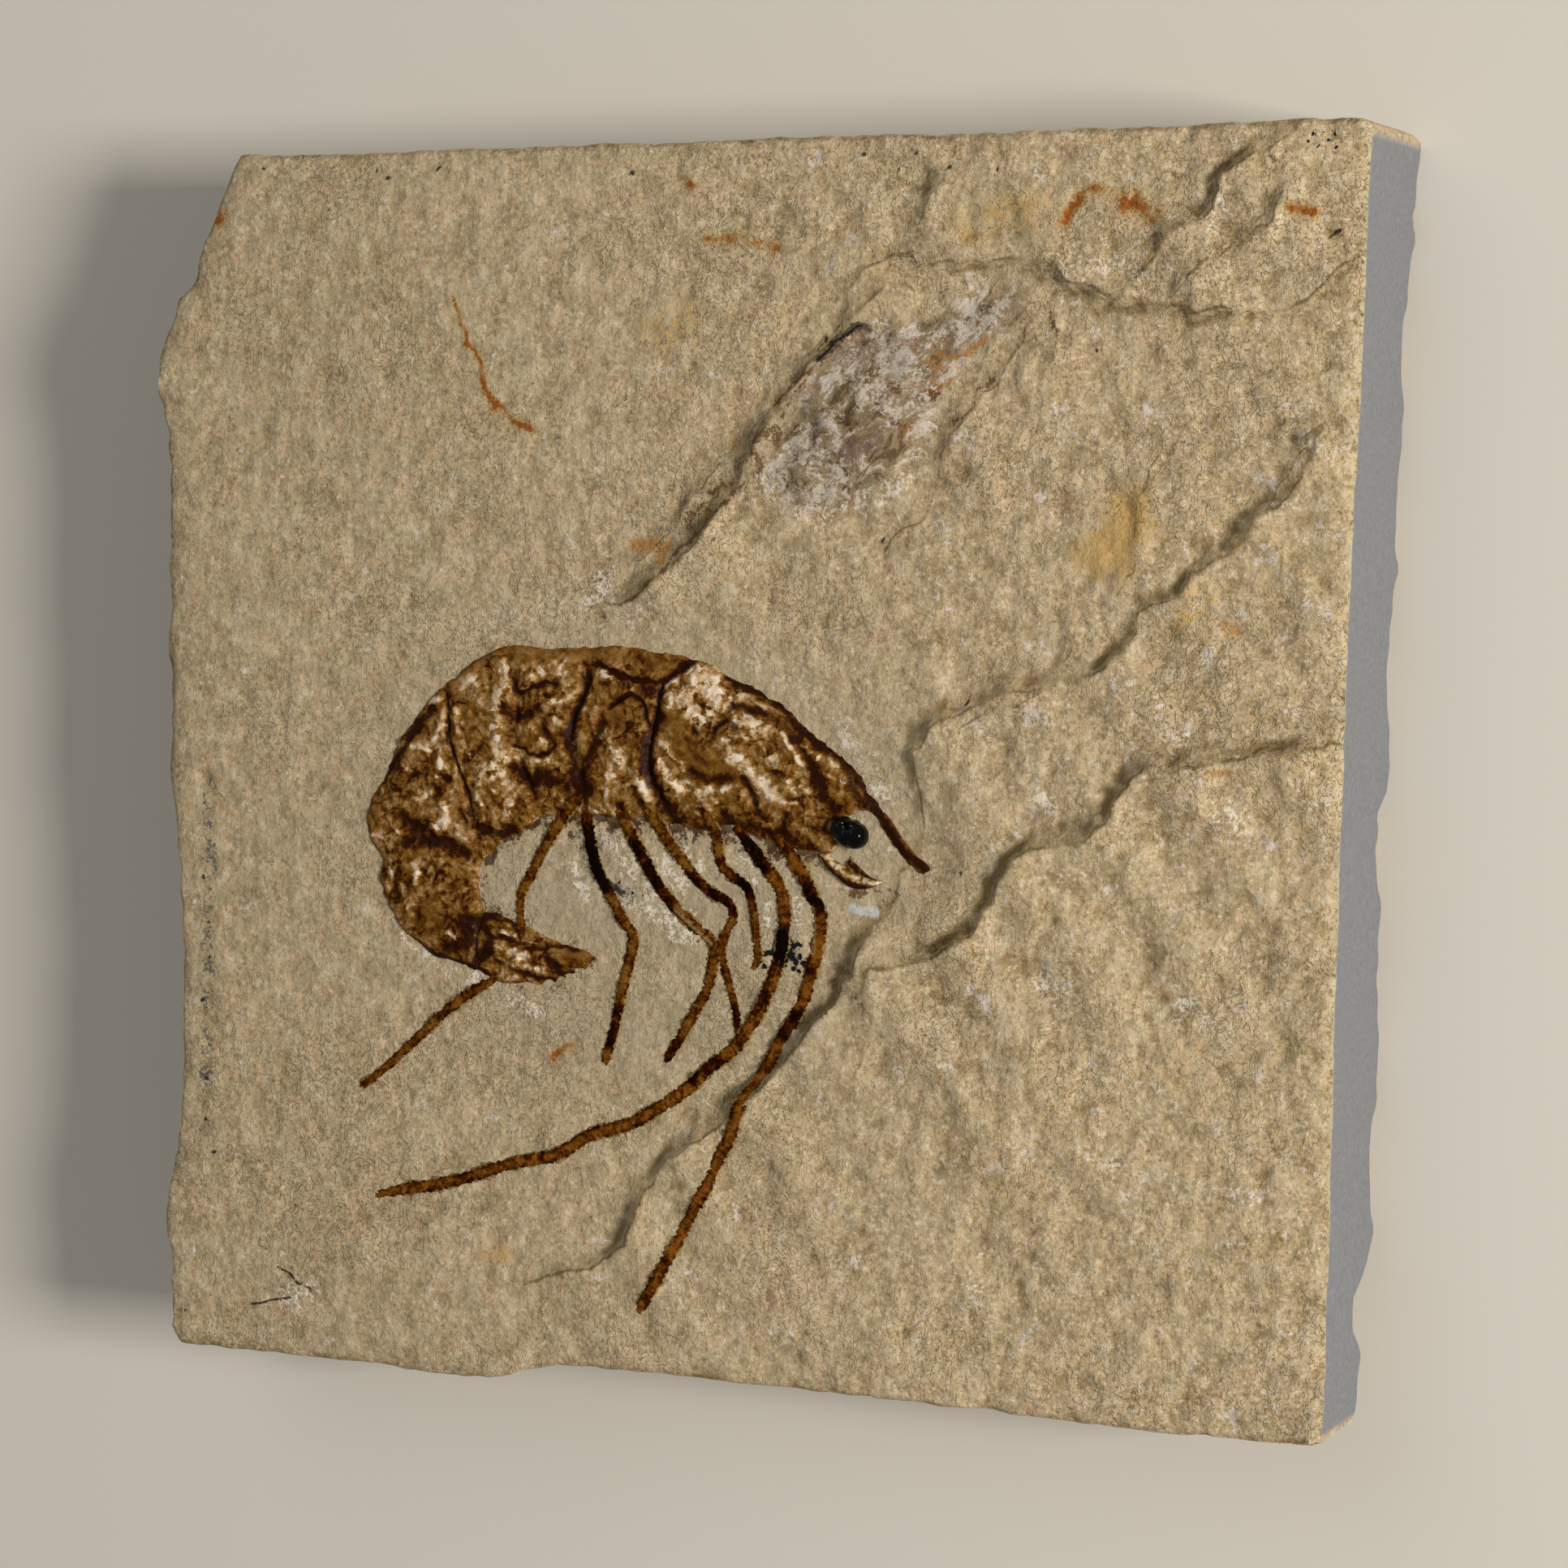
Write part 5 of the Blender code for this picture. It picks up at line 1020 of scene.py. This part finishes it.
swing = add(tree, "ShaderNodeMath", {0: crumbs, 1: 1.3, 2: swing}, operation="MULTIPLY_ADD")[0]
swing = add(tree, "ShaderNodeMath", {0: flakes, 1: 0.4, 2: swing}, operation="MULTIPLY_ADD")[0]
swing = add(tree, "ShaderNodeMath", {0: swing, 1: 0.85}, operation="SUBTRACT")[0]
swing = add(tree, "ShaderNodeMath", {0: fibres, 1: 0.12, 2: swing}, operation="MULTIPLY_ADD")[0]
swing = add(tree, "ShaderNodeMath", {0: swing, 1: lively}, operation="MULTIPLY")[0]
tone = add(tree, "ShaderNodeMath", {0: swing, 1: 0.46}, operation="ADD")[0]
tone = add(tree, "ShaderNodeMath", {0: pale, 1: 0.5, 2: tone}, operation="MULTIPLY_ADD")[0]
tone = add(tree, "ShaderNodeMath", {0: dark, 1: -0.55, 2: tone}, operation="MULTIPLY_ADD")[0]
crazed = add(tree, "ShaderNodeMath", {0: crazed, 1: crazing}, operation="MULTIPLY")[0]
tone = add(tree, "ShaderNodeMath", {0: tone, 1: crazed}, operation="SUBTRACT")[0]
tint = linear("#2A0F02")
for low, high, colour in ((0.0, 0.12, "#482205"), (0.12, 0.26, "#613C0A"), (0.26, 0.44, "#79541F"),
                          (0.44, 0.6, "#8F6A3A"), (0.6, 0.78, "#AA875C"), (0.78, 0.95, "#CBB08E"),
                          (0.95, 1.15, "#F0E4D6")):
    share = add(tree, "ShaderNodeMapRange", {0: tone, 1: low, 2: high})[0]
    tint = add(tree, "ShaderNodeMix", {0: share, 6: tint, 7: linear(colour)}, data_type="RGBA")[2]
broken = add(tree, "ShaderNodeMath", {0: flakes, 1: 1.3, 2: -0.65}, operation="MULTIPLY_ADD")[0]
broken = add(tree, "ShaderNodeMath", {0: crumbs, 1: 3.0, 2: broken}, operation="MULTIPLY_ADD")[0]
broken = add(tree, "ShaderNodeMath", {0: broken, 1: 1.5}, operation="SUBTRACT")[0]
for strokes, colour, low, high, most in ((pale, "#C7AB84", 0.5, 0.66, 0.8),
                                         (pale, "#E9DAC6", 0.98, 1.12, 0.85),
                                         (dark, "#240A01", 0.7, 0.9, 0.85)):
    share = add(tree, "ShaderNodeMath", {0: strokes, 1: broken}, operation="ADD")[0]
    share = add(tree, "ShaderNodeMapRange", {0: share, 1: low, 2: high, 4: most})[0]
    held = add(tree, "ShaderNodeMapRange", {0: strokes, 1: 0.1, 2: 0.35})[0]
    share = add(tree, "ShaderNodeMath", {0: share, 1: held}, operation="MULTIPLY")[0]
    tint = add(tree, "ShaderNodeMix", {0: share, 6: tint, 7: linear(colour)}, data_type="RGBA")[2]
frayed = add(tree, "ShaderNodeMath", {0: crumbs, 1: 0.9, 2: -0.45}, operation="MULTIPLY_ADD")[0]
frayed = add(tree, "ShaderNodeMath", {0: rim, 1: frayed}, operation="ADD")[0]
bare = add(tree, "ShaderNodeMapRange", {0: frayed, 1: 0.14, 2: 0.0})[0]
tint = add(tree, "ShaderNodeMix", {0: bare, 6: tint, 7: linear("#6B4E28")}, data_type="RGBA")[2]
bump = add(tree, "ShaderNodeBump", {"Strength": 1.0, "Distance": 0.00012, "Height": crumbs})[0]
tree.links.new(tint, shader.inputs["Base Color"])
tree.links.new(bump, shader.inputs["Normal"])

for node, sides, crown, fibre_size, fibre_strength in (
        ("carapace", [REAR_SEAM, CARAPACE_EDGE], CROWN, (1.6, 0.6), 1.2),
        ("abdomen", [ABDOMEN_BACK, REAR_SEAM[::-1], ABDOMEN_BELLY, TAIL_SEAM], CROWN, (0.5, 1.8), 1.2),
        ("tail_fan", [TAIL_SEAM[::-1], TAIL_EDGE], CROWN * 0.7, (2.6, 0.22), 3.2)):
    ring = ragged_ring(sides, SHELL_CELL, RAGGED)
    piece, spots, count = sheet_piece(node + "_shell", ring, SHELL_CELL, shell_height(crown), BED - SHELL_SUNK)
    mark_shell(piece, spots, count, fibre_size, fibre_strength)
    piece.data.materials.append(fossil_shell)
    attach(piece, "root")
    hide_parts(node)

# Eye
# A glossy black bead of two lobes grown together, set in the shell's orbit.

EYE_LOBES = np.array([(9.95, -4.15, 0.85), (11.05, -4.75, 1.05), (10.45, -4.75, 0.95), (10.2, -3.75, 0.5),
                      (11.0, -3.95, 0.45)])
EYE_HEIGHT = 1.15
EYE_CELL = 0.06
heart = EYE_LOBES[:3, :2].mean(0)
turns = -np.linspace(0, 2 * np.pi, 120, endpoint=False)
rays = np.stack([np.cos(turns), np.sin(turns)], 1)
towards = rays @ (EYE_LOBES[:, :2] - heart).T
spread = towards**2 + EYE_LOBES[:, 2] ** 2 - ((EYE_LOBES[:, :2] - heart) ** 2).sum(1)
reach = np.where(spread > 0, towards + np.sqrt(np.maximum(spread, 0)), 0)
eye_ring = heart + rays * reach.max(1)[:, None]


def eye_height(spots):
    """The beads' domes over the bed, a little dented."""
    away = np.linalg.norm(spots[:, None] - EYE_LOBES[:, :2], axis=2) / EYE_LOBES[:, 2]
    dome = np.sqrt(np.maximum(1 - away**2, 0)).max(1)
    return BED + 0.15 + EYE_HEIGHT * dome + 0.05 * lumps(spots, 0.5, 43.0) * dome


eye, _, _ = sheet_piece("eye_bead", eye_ring, EYE_CELL, eye_height, BED - SHELL_SUNK)

# Black glassy mineral: smooth and shiny like jet, with only small dents to break the lamp's reflection
jet, tree, shader = new_material("glossy_black_mineral", {"Base Color": linear("#020202"), "Roughness": 0.12,
                                                          "Specular IOR Level": 0.25, "IOR": 1.45})
where = add(tree, "ShaderNodeTexCoord")["Object"]
dents = add(tree, "ShaderNodeTexNoise", {"Vector": where, "Scale": 1000 / 0.5, "Detail": 3})[0]
bump = add(tree, "ShaderNodeBump", {"Strength": 1.0, "Distance": 0.00004, "Height": dents})[0]
tree.links.new(bump, shader.inputs["Normal"])
eye.data.materials.append(jet)
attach(eye, "root")
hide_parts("eye")

# Antennal scale
# The small forked blade under the eye: two dark edges with pale shell between them, in the same brown
# mineral as the body.

SCALE_OUTLINE = [
    (7.8, -6.2), (8.6, -6.1), (9.4, -6.6), (10.1, -6.9), (10.6, -6.5), (11.2, -6.9), (11.8, -7.5),
    (12.7, -7.95), (13.6, -8.3), (12.9, -8.6), (12.2, -8.85), (11.4, -8.95), (10.6, -8.85), (9.6, -8.2),
    (8.6, -7.3),
]
SCALE_DARK = [
    (0.32, 1, [(8.1, -6.7), (9.2, -7.5), (10.2, -8.3), (11.2, -8.75), (12.3, -8.6)]),
    (0.2, 0.9, [(10.6, -6.7), (11.3, -7.3), (12.1, -7.8), (12.7, -8.1)]),
]
SCALE_PALE = [(0.3, 1, [(8.9, -6.5), (9.7, -7.3), (10.6, -7.8), (11.6, -8.2), (13.0, -8.35)])]
ring = ragged_ring([SCALE_OUTLINE + SCALE_OUTLINE[:1]], 0.1, 0.05)


def scale_height(spots):
    """The blade stands proud along its dark edges."""
    deep = np.maximum(depth_inside(spots, ring), 0)
    rise = 0.2 * soft_step(deep / 0.3) + 0.2 * brushed(spots, SCALE_DARK) + 0.1 * lumps(spots, 0.5, 44.0)
    return BED - 0.1 + rise * soft_step(deep / 0.2) + 0.12 * soft_step(deep / 0.2)


scale, spots, count = sheet_piece("antennal_scale_shell", ring, 0.1, scale_height, BED - SHELL_SUNK)
fibres = lumps(np.column_stack([spots @ (0.8, -0.6) / 2, spots @ (0.6, 0.8) / 0.25]), 1.0, 45.0)
for title, values in (("dark", brushed(spots, SCALE_DARK)), ("pale", brushed(spots, SCALE_PALE)),
                      ("smooth", np.zeros(len(spots))), ("fibres", fibres),
                      ("rim", np.maximum(depth_inside(spots, ring), 0))):
    mark(scale, title, np.concatenate([values, np.zeros(count)]))
scale.data.materials.append(fossil_shell)
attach(scale, "root")
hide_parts("antennal_scale")

# Legs and feelers
# Thin jointed limbs pressed into low knobbly ridges of nearly black brown mineral, with small knobs, joints
# and broken bristles along them. Each follows the stone or the shell that it lies on.

LIMBS = {               # width at the root, width at the tip, centre line
    "leg_1": (1.1, 0.7, [
        (-12.3, -2.5), (-13.3, -3.5), (-14.4, -5), (-15.5, -6.75), (-16.8, -9.2), (-17.5, -10.5),
        (-17.6, -11.8), (-17.5, -12.9), (-17.3, -13.9)]),
    "leg_1_end": (1.0, 0.7, [
        (-19.8, -17.4), (-21.7, -18.5), (-24.2, -20.3), (-26.6, -22.5), (-28.5, -24.2), (-30, -25.5),
        (-31.8, -26.8)]),
    "leg_2": (1.18, 0.85, [
        (-11.9, -3.4), (-11.5, -6.1), (-10.9, -8.1), (-10.2, -9.4), (-9.4, -10.7), (-8.5, -12.2),
        (-7.7, -13.3), (-7.9, -15), (-8.5, -17.4), (-8.9, -19.2), (-9.4, -21.4), (-10.1, -23.7)]),
    "leg_3": (1.1, 0.88, [
        (-9.0, -3.5), (-7.4, -6.3), (-6.5, -7.8), (-5.4, -9.4), (-4.1, -10.9), (-2.4, -12.4), (-0.7, -13.8),
        (-0.8, -15.3), (-1.3, -17.2), (-2.2, -19), (-3.5, -21.1), (-4.8, -23.2)]),
    "leg_4": (1.08, 0.68, [
        (-6.5, -3.3), (-4.8, -5.7), (-3.7, -7), (-2.4, -8.5), (-1.1, -9.6), (0.7, -10.6), (0.95, -11.5),
        (0.3, -12.7), (-0.05, -14.2), (0.5, -16.6), (1.2, -19), (1.3, -20.6)]),
    "leg_5": (1.0, 0.7, [
        (-1.3, -3.3), (-0.5, -5.9), (-0.2, -7.4), (0.7, -8.3), (2.0, -9.1), (2.6, -10.9), (2.9, -12.9),
        (3.05, -14.8), (2.6, -15.5)]),
    "antenna_long": (1.2, 1.05, [
        (1, -4.4), (2.2, -5.9), (3.3, -7.2), (4.6, -8.7), (5.2, -10.2), (5.2, -12.2), (5, -13.9),
        (4.5, -15.7), (3.5, -18.1), (2.4, -20), (1.1, -21.8), (-1.1, -23.5), (-2.4, -24.8), (-4.6, -26.4),
        (-7.8, -28.3), (-11.2, -29.4), (-14, -31.1), (-16.8, -31.8), (-19.5, -32.6), (-21.7, -33.4),
        (-24.8, -34.3), (-27.5, -34.8), (-30.3, -35.5)]),
    "antenna_short": (1.22, 1.05, [
        (4.5, -4.9), (5.5, -6.3), (6.5, -7.6), (7.4, -9.4), (8.2, -10.9), (8.1, -13.1), (7.6, -15.25),
        (7, -17.2), (6.1, -19.2), (5.2, -20.7), (4.4, -22.2), (3.1, -24.4), (2, -26.1), (1.1, -28.5),
        (-0.15, -30.9), (-0.9, -32.8), (-2.3, -35.2), (-3.8, -38), (-5.1, -40.5), (-6.8, -43.2)]),
}
BLACKENED = [
    (0.8, 1, [(-11.6, -5.0), (-11.3, -6.8), (-10.9, -8.1), (-10.1, -9.4)]),
    (0.8, 1, [(1.7, -8.9), (2.5, -9.4)]), (0.9, 1.4, [(5.2, -12.9), (5.1, -14.3)]),
    (0.5, 0.8, [(0.3, -10.3), (0.9, -10.9)]), (0.6, 0.8, [(1.6, -5.1), (3.4, -7.3)]),
    (0.5, 0.75, [(7.0, -8.8), (8.0, -10.6)]), (0.6, 0.7, [(-7.6, -6.0), (-6.4, -8.0), (-4.8, -10.2)]),
    (0.4, 0.6, [(-2.4, -8.5), (-0.6, -9.9)]), (0.5, 0.6, [(6.2, -18.9), (5.4, -20.4)]),
    (0.4, 0.6, [(4.2, -16.4), (3.5, -18.2)]), (0.5, 0.6, [(-3.9, -21.8), (-4.8, -23.2)]),
    (0.5, 0.6, [(-9.0, -19.5), (-9.6, -22)]), (0.35, 1, [(-2.3, -24.5), (-2.1, -24.0)]),
    (0.5, 0.6, [(-0.2, -23), (-1.4, -23.8)]), (0.4, 0.6, [(1.0, -18.6), (1.3, -20.2)]),
]
WORN_THIN = [
    (0.24, 1, [(-4.0, -11.1), (-2.4, -12.5), (-0.9, -13.7)]),
    (0.22, 1, [(7.5, -10.4), (7.8, -12), (7.7, -14)]), (0.3, 0.5, [(-7.9, -13.8), (-8.3, -17)]),
    (0.3, 0.45, [(2.6, -10.4), (2.9, -14)]), (0.3, 0.45, [(-0.9, -15.6), (-2.8, -20)]),
    (0.3, 0.4, [(5.3, -9.8), (5.2, -12.4)]), (0.3, 0.45, [(5, -14.6), (4, -17.4)]),
    (0.3, 0.4, [(-14.6, -5.6), (-17, -10)]),
]

# Dark limb mineral: the same iron-stained shell as a thin film, nearly black along its edges and where
# manganese has settled, and rusty or tan where it is worn thin
limb_stone, tree, shader = new_material("dark_fossil_limb", {"Roughness": 0.5, "Specular IOR Level": 0.03,
                                                             "IOR": 1.5})
where = add(tree, "ShaderNodeTexCoord")["Object"]
patch = add(tree, "ShaderNodeTexNoise", {"Vector": where, "Scale": 1000 / 1.3, "Detail": 7,
                                         "Roughness": 0.72})[0]
speckle = add(tree, "ShaderNodeTexNoise", {"Vector": where, "Scale": 1000 / 0.35, "Detail": 4,
                                           "Roughness": 0.7})[0]
raw_edge, black, thin, feeler = (add(tree, "ShaderNodeAttribute", attribute_name=title)["Fac"]
                                 for title in ("edge", "black", "thin", "feeler"))
tone = add(tree, "ShaderNodeMath", {0: patch, 1: 2.9, 2: -1.66}, operation="MULTIPLY_ADD")[0]
tone = add(tree, "ShaderNodeMath", {0: speckle, 1: 1.5, 2: tone}, operation="MULTIPLY_ADD")[0]
edge = add(tree, "ShaderNodeMath", {0: raw_edge, 1: 2.2}, operation="POWER")[0]
tone = add(tree, "ShaderNodeMath", {0: edge, 1: -0.38, 2: tone}, operation="MULTIPLY_ADD")[0]
tone = add(tree, "ShaderNodeMath", {0: black, 1: -0.85, 2: tone}, operation="MULTIPLY_ADD")[0]
tint = linear("#0D0400")
for low, high, colour in ((-0.2, 0.1, "#2E0C00"), (0.1, 0.3, "#441D00"), (0.3, 0.5, "#5E3605"),
                          (0.5, 0.75, "#7C521A")):
    share = add(tree, "ShaderNodeMapRange", {0: tone, 1: low, 2: high})[0]
    tint = add(tree, "ShaderNodeMix", {0: share, 6: tint, 7: linear(colour)}, data_type="RGBA")[2]
rusty = add(tree, "ShaderNodeMath", {0: feeler, 1: 0.4}, operation="MULTIPLY")[0]
rusty = add(tree, "ShaderNodeMath", {0: share, 1: rusty}, operation="MULTIPLY")[0]
tint = add(tree, "ShaderNodeMix", {0: rusty, 6: tint, 7: linear("#8A4408")}, data_type="RGBA")[2]
thin = add(tree, "ShaderNodeMath", {0: speckle, 1: thin}, operation="MULTIPLY")[0]
thin = add(tree, "ShaderNodeMapRange", {0: thin, 1: 0.2, 2: 0.5, 4: 0.85})[0]
tint = add(tree, "ShaderNodeMix", {0: thin, 6: tint, 7: linear("#A08558")}, data_type="RGBA")[2]
frayed = add(tree, "ShaderNodeMath", {0: speckle, 1: 1.6, 2: raw_edge}, operation="MULTIPLY_ADD")[0]
frayed = add(tree, "ShaderNodeMapRange", {0: frayed, 1: 1.66, 2: 1.78})[0]
tint = add(tree, "ShaderNodeMix", {0: frayed, 6: tint, 7: linear("#8F7850")}, data_type="RGBA")[2]
bump = add(tree, "ShaderNodeBump", {"Strength": 1.0, "Distance": 0.0001, "Height": speckle})[0]
tree.links.new(tint, shader.inputs["Base Color"])
tree.links.new(bump, shader.inputs["Normal"])

# The tree that turns a centre line into a limb, all sizes in metres
limb_tree = bpy.data.node_groups.new("fossil_limb", "GeometryNodeTree")
limb_tree.interface.new_socket("Geometry", in_out="OUTPUT", socket_type="NodeSocketGeometry")
limb_tree.interface.new_socket("Geometry", in_out="INPUT", socket_type="NodeSocketGeometry")
LIMB_INPUTS = {"Root Width": 0.0009, "Tip Width": 0.0006, "Height Share": 0.3, "Step": 0.00011,
               "Knob Size": 0.00014, "Bristle Length": 0.0006, "Bristles": 20000.0, "Seed": 1}
for name, value in LIMB_INPUTS.items():
    kind = "NodeSocketInt" if name == "Seed" else "NodeSocketFloat"
    limb_tree.interface.new_socket(name, in_out="INPUT", socket_type=kind).default_value = value
given = add(limb_tree, "NodeGroupInput")
path = add(limb_tree, "GeometryNodeMeshToCurve", {0: given["Geometry"]})[0]
path = add(limb_tree, "GeometryNodeResampleCurve", {"Curve": path, "Length": given["Step"]}, mode="LENGTH")[0]
share = add(limb_tree, "GeometryNodeSplineParameter")["Factor"]
width = add(limb_tree, "ShaderNodeMix", {0: share, 2: given["Root Width"], 3: given["Tip Width"]})[0]
swell = add(limb_tree, "ShaderNodeTexNoise", {"Scale": 620.0, "Detail": 6.0, "Roughness": 0.75})[0]
swell = add(limb_tree, "ShaderNodeMath", {0: swell, 1: 1.1, 2: -0.02}, operation="MULTIPLY_ADD")[0]
radius = add(limb_tree, "ShaderNodeMath", {0: width, 1: swell}, operation="MULTIPLY")[0]
taper = add(limb_tree, "ShaderNodeMapRange", {0: share, 1: 0.97, 2: 1.0, 3: 1.0, 4: 0.45})[0]
radius = add(limb_tree, "ShaderNodeMath", {0: radius, 1: taper}, operation="MULTIPLY")[0]
taper = add(limb_tree, "ShaderNodeMapRange", {0: share, 1: 0.0, 2: 0.06, 3: 0.45, 4: 1.0})[0]
radius = add(limb_tree, "ShaderNodeMath", {0: radius, 1: taper}, operation="MULTIPLY")[0]
path = add(limb_tree, "GeometryNodeSetCurveNormal", {"Curve": path}, mode="Z_UP")[0]
profile = add(limb_tree, "GeometryNodeCurvePrimitiveCircle", {"Resolution": 14, "Radius": 1.0})[0]
flat = add(limb_tree, "ShaderNodeCombineXYZ", {0: 1.0, 1: given["Height Share"], 2: 1.0})[0]
profile = add(limb_tree, "GeometryNodeTransform", {"Geometry": profile, "Scale": flat})[0]
strip = add(limb_tree, "GeometryNodeCurveToMesh", {"Curve": path, "Profile Curve": profile, "Scale": radius,
                                                   "Fill Caps": True})[0]
normal = add(limb_tree, "GeometryNodeInputNormal")[0]
dent = add(limb_tree, "ShaderNodeTexNoise", {"Scale": 3600.0, "Detail": 3.0, "Roughness": 0.65})[0]
dent = add(limb_tree, "ShaderNodeMath", {0: dent, 1: 0.5}, operation="SUBTRACT")[0]
dent = add(limb_tree, "ShaderNodeMath", {0: dent, 1: 0.0006}, operation="MULTIPLY")[0]
push = add(limb_tree, "ShaderNodeVectorMath", {0: normal, "Scale": dent}, operation="SCALE")[0]
strip = add(limb_tree, "GeometryNodeSetPosition", {"Geometry": strip, "Offset": push})[0]
knobs = add(limb_tree, "GeometryNodeDistributePointsOnFaces", {"Mesh": strip, "Density": 0.9e6,
                                                               "Seed": given["Seed"]})
knob_scale = add(limb_tree, "FunctionNodeRandomValue", {2: 0.35, 3: 1.0, "Seed": given["Seed"]},
                 data_type="FLOAT")[1]
knob = add(limb_tree, "GeometryNodeMeshIcoSphere", {"Radius": given["Knob Size"], "Subdivisions": 1})[0]
knobs = add(limb_tree, "GeometryNodeInstanceOnPoints", {"Points": knobs[0], "Instance": knob,
                                                        "Rotation": knobs[2], "Scale": knob_scale})[0]
roots = add(limb_tree, "GeometryNodeDistributePointsOnFaces", {"Mesh": strip, "Density": given["Bristles"],
                                                               "Seed": given["Seed"]})
bristle = add(limb_tree, "GeometryNodeMeshCone", {"Vertices": 5, "Radius Bottom": 0.00009,
                                                  "Radius Top": 0.00002, "Depth": given["Bristle Length"]})[0]
bristles = add(limb_tree, "GeometryNodeInstanceOnPoints", {"Points": roots[0], "Instance": bristle,
                                                           "Rotation": roots[2]})[0]
whole = add(limb_tree, "GeometryNodeJoinGeometry")[0].node
for part in (bristles, knobs, strip):
    limb_tree.links.new(part, whole.inputs[0])
real = add(limb_tree, "GeometryNodeRealizeInstances", {0: whole.outputs[0]})[0]
real = add(limb_tree, "GeometryNodeSetMaterial", {0: real, "Material": limb_stone})[0]
add(limb_tree, "NodeGroupOutput")
limb_tree.links.new(real, limb_tree.nodes["Group Output"].inputs[0])
sockets = {item.name: item.identifier for item in limb_tree.interface.items_tree if item.in_out == "INPUT"}

carriers = [slab] + [bpy.data.objects[name] for name in ("tail_fan_shell", "abdomen_shell", "carapace_shell")]
carriers = [BVHTree.FromPolygons([v.co for v in thing.data.vertices],
                                 [p.vertices[:] for p in thing.data.polygons]) for thing in carriers]


def ground(spot):
    """Height in metres of what lies highest at a spot in metres: stone or shell."""
    above, down = Vector((spot[0], spot[1], 0.05)), Vector((0, 0, -1))
    hits = [carrier.ray_cast(above, down)[0] for carrier in carriers]
    return max(hit.z for hit in hits if hit)


for seed, (node, (root_width, tip_width, points)) in enumerate(LIMBS.items()):
    line = (curve(points, 0.5) - MIDDLE) * MM
    line = np.column_stack([line, [ground(spot) for spot in line]])
    mesh = bpy.data.meshes.new(node + "_line")
    mesh.from_pydata(line.tolist(), [(i, i + 1) for i in range(len(line) - 1)], [])
    host = bpy.data.objects.new(node + "_line", mesh)
    bpy.context.scene.collection.objects.link(host)
    growth = host.modifiers.new("limb", "NODES")
    growth.node_group = limb_tree
    growth[sockets["Root Width"]] = root_width * MM
    growth[sockets["Tip Width"]] = tip_width * MM
    growth[sockets["Bristles"]] = 60000.0 if node in ("antenna_long", "antenna_short") else 8000.0
    growth[sockets["Seed"]] = seed + 1
    made = bpy.data.meshes.new_from_object(host.evaluated_get(bpy.context.evaluated_depsgraph_get()))
    bpy.data.objects.remove(host)
    limb = bpy.data.objects.new(node + "_ridge", made)
    bpy.context.scene.collection.objects.link(limb)
    made.shade_smooth()
    spots = np.array([v.co[:2] for v in made.vertices]) / MM + MIDDLE
    right, along = nearest(spots, curve(points, 0.5))[:2]
    half = np.interp(along / along.max(), [0, 1], [root_width / 2, tip_width / 2])
    for title, values in (("edge", np.minimum(np.abs(right) / half, 1.2)), ("black", brushed(spots, BLACKENED)),
                          ("thin", brushed(spots, WORN_THIN)),
                          ("feeler", np.full(len(spots), float(node.startswith("antenna"))))):
        mark(limb, title, values)
    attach(limb, "root")
    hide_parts(node)

# Floor, light and camera
# A plain pale table under the slab, one soft lamp low on the right that brings out the relief, and the
# camera where the photograph was taken from, looking down on the slab.

floor_mesh = bpy.data.meshes.new("floor")
reach = 1.5
floor_mesh.from_pydata([(-reach, -reach, 0), (reach, -reach, 0), (reach, reach, 0), (-reach, reach, 0)], [],
                       [(0, 1, 2, 3)])
floor = bpy.data.objects.new("floor", floor_mesh)
bpy.context.scene.collection.objects.link(floor)
paper = new_material("pale_paper", {"Base Color": linear("#DAD7D1"), "Roughness": 0.9})[0]
floor_mesh.materials.append(paper)


def lamp(name, way, distance, size, watts, colour):
    """A square soft lamp that shines on the slab from the given direction."""
    light = bpy.data.lights.new(name, "AREA")
    light.size = size
    light.energy = watts
    light.color = linear(colour)[:3]
    stand = bpy.data.objects.new(name, light)
    stand.location = Vector(way).normalized() * distance
    stand.rotation_euler = (-stand.location).to_track_quat("-Z", "Y").to_euler()
    bpy.context.scene.collection.objects.link(stand)


lamp("key", (0.85, 0.0, 0.53), 0.9, 0.22, 7.8, "#FFF8EC")
lamp("fill", (-0.3, 0.5, 0.8), 1.2, 0.9, 2.0, "#FBF8F2")
studio = bpy.data.worlds.new("studio")
studio.use_nodes = True
studio.node_tree.nodes["Background"].inputs["Color"].default_value = linear("#ECE7DE")
studio.node_tree.nodes["Background"].inputs["Strength"].default_value = 0.25
bpy.context.scene.world = studio
bpy.context.scene.view_settings.view_transform = "Standard"

CAMERA_PLACE = (0.13769, 0.02036, 0.33327)
CAMERA_LOOKS = (-0.38293, -0.06090, -0.92177)
CAMERA_UP = (-0.03446, 0.99807, -0.05163)
LENS = 102.5           # millimetres, on a sensor 36 mm wide
camera = bpy.data.objects.new("camera", bpy.data.cameras.new("camera"))
camera.data.lens = LENS
camera.data.clip_start = 0.01
looks, up = Vector(CAMERA_LOOKS), Vector(CAMERA_UP)
turn = Matrix([looks.cross(up), up, -looks]).transposed().to_4x4()
camera.matrix_world = Matrix.Translation(CAMERA_PLACE) @ turn
bpy.context.scene.collection.objects.link(camera)
bpy.context.scene.camera = camera
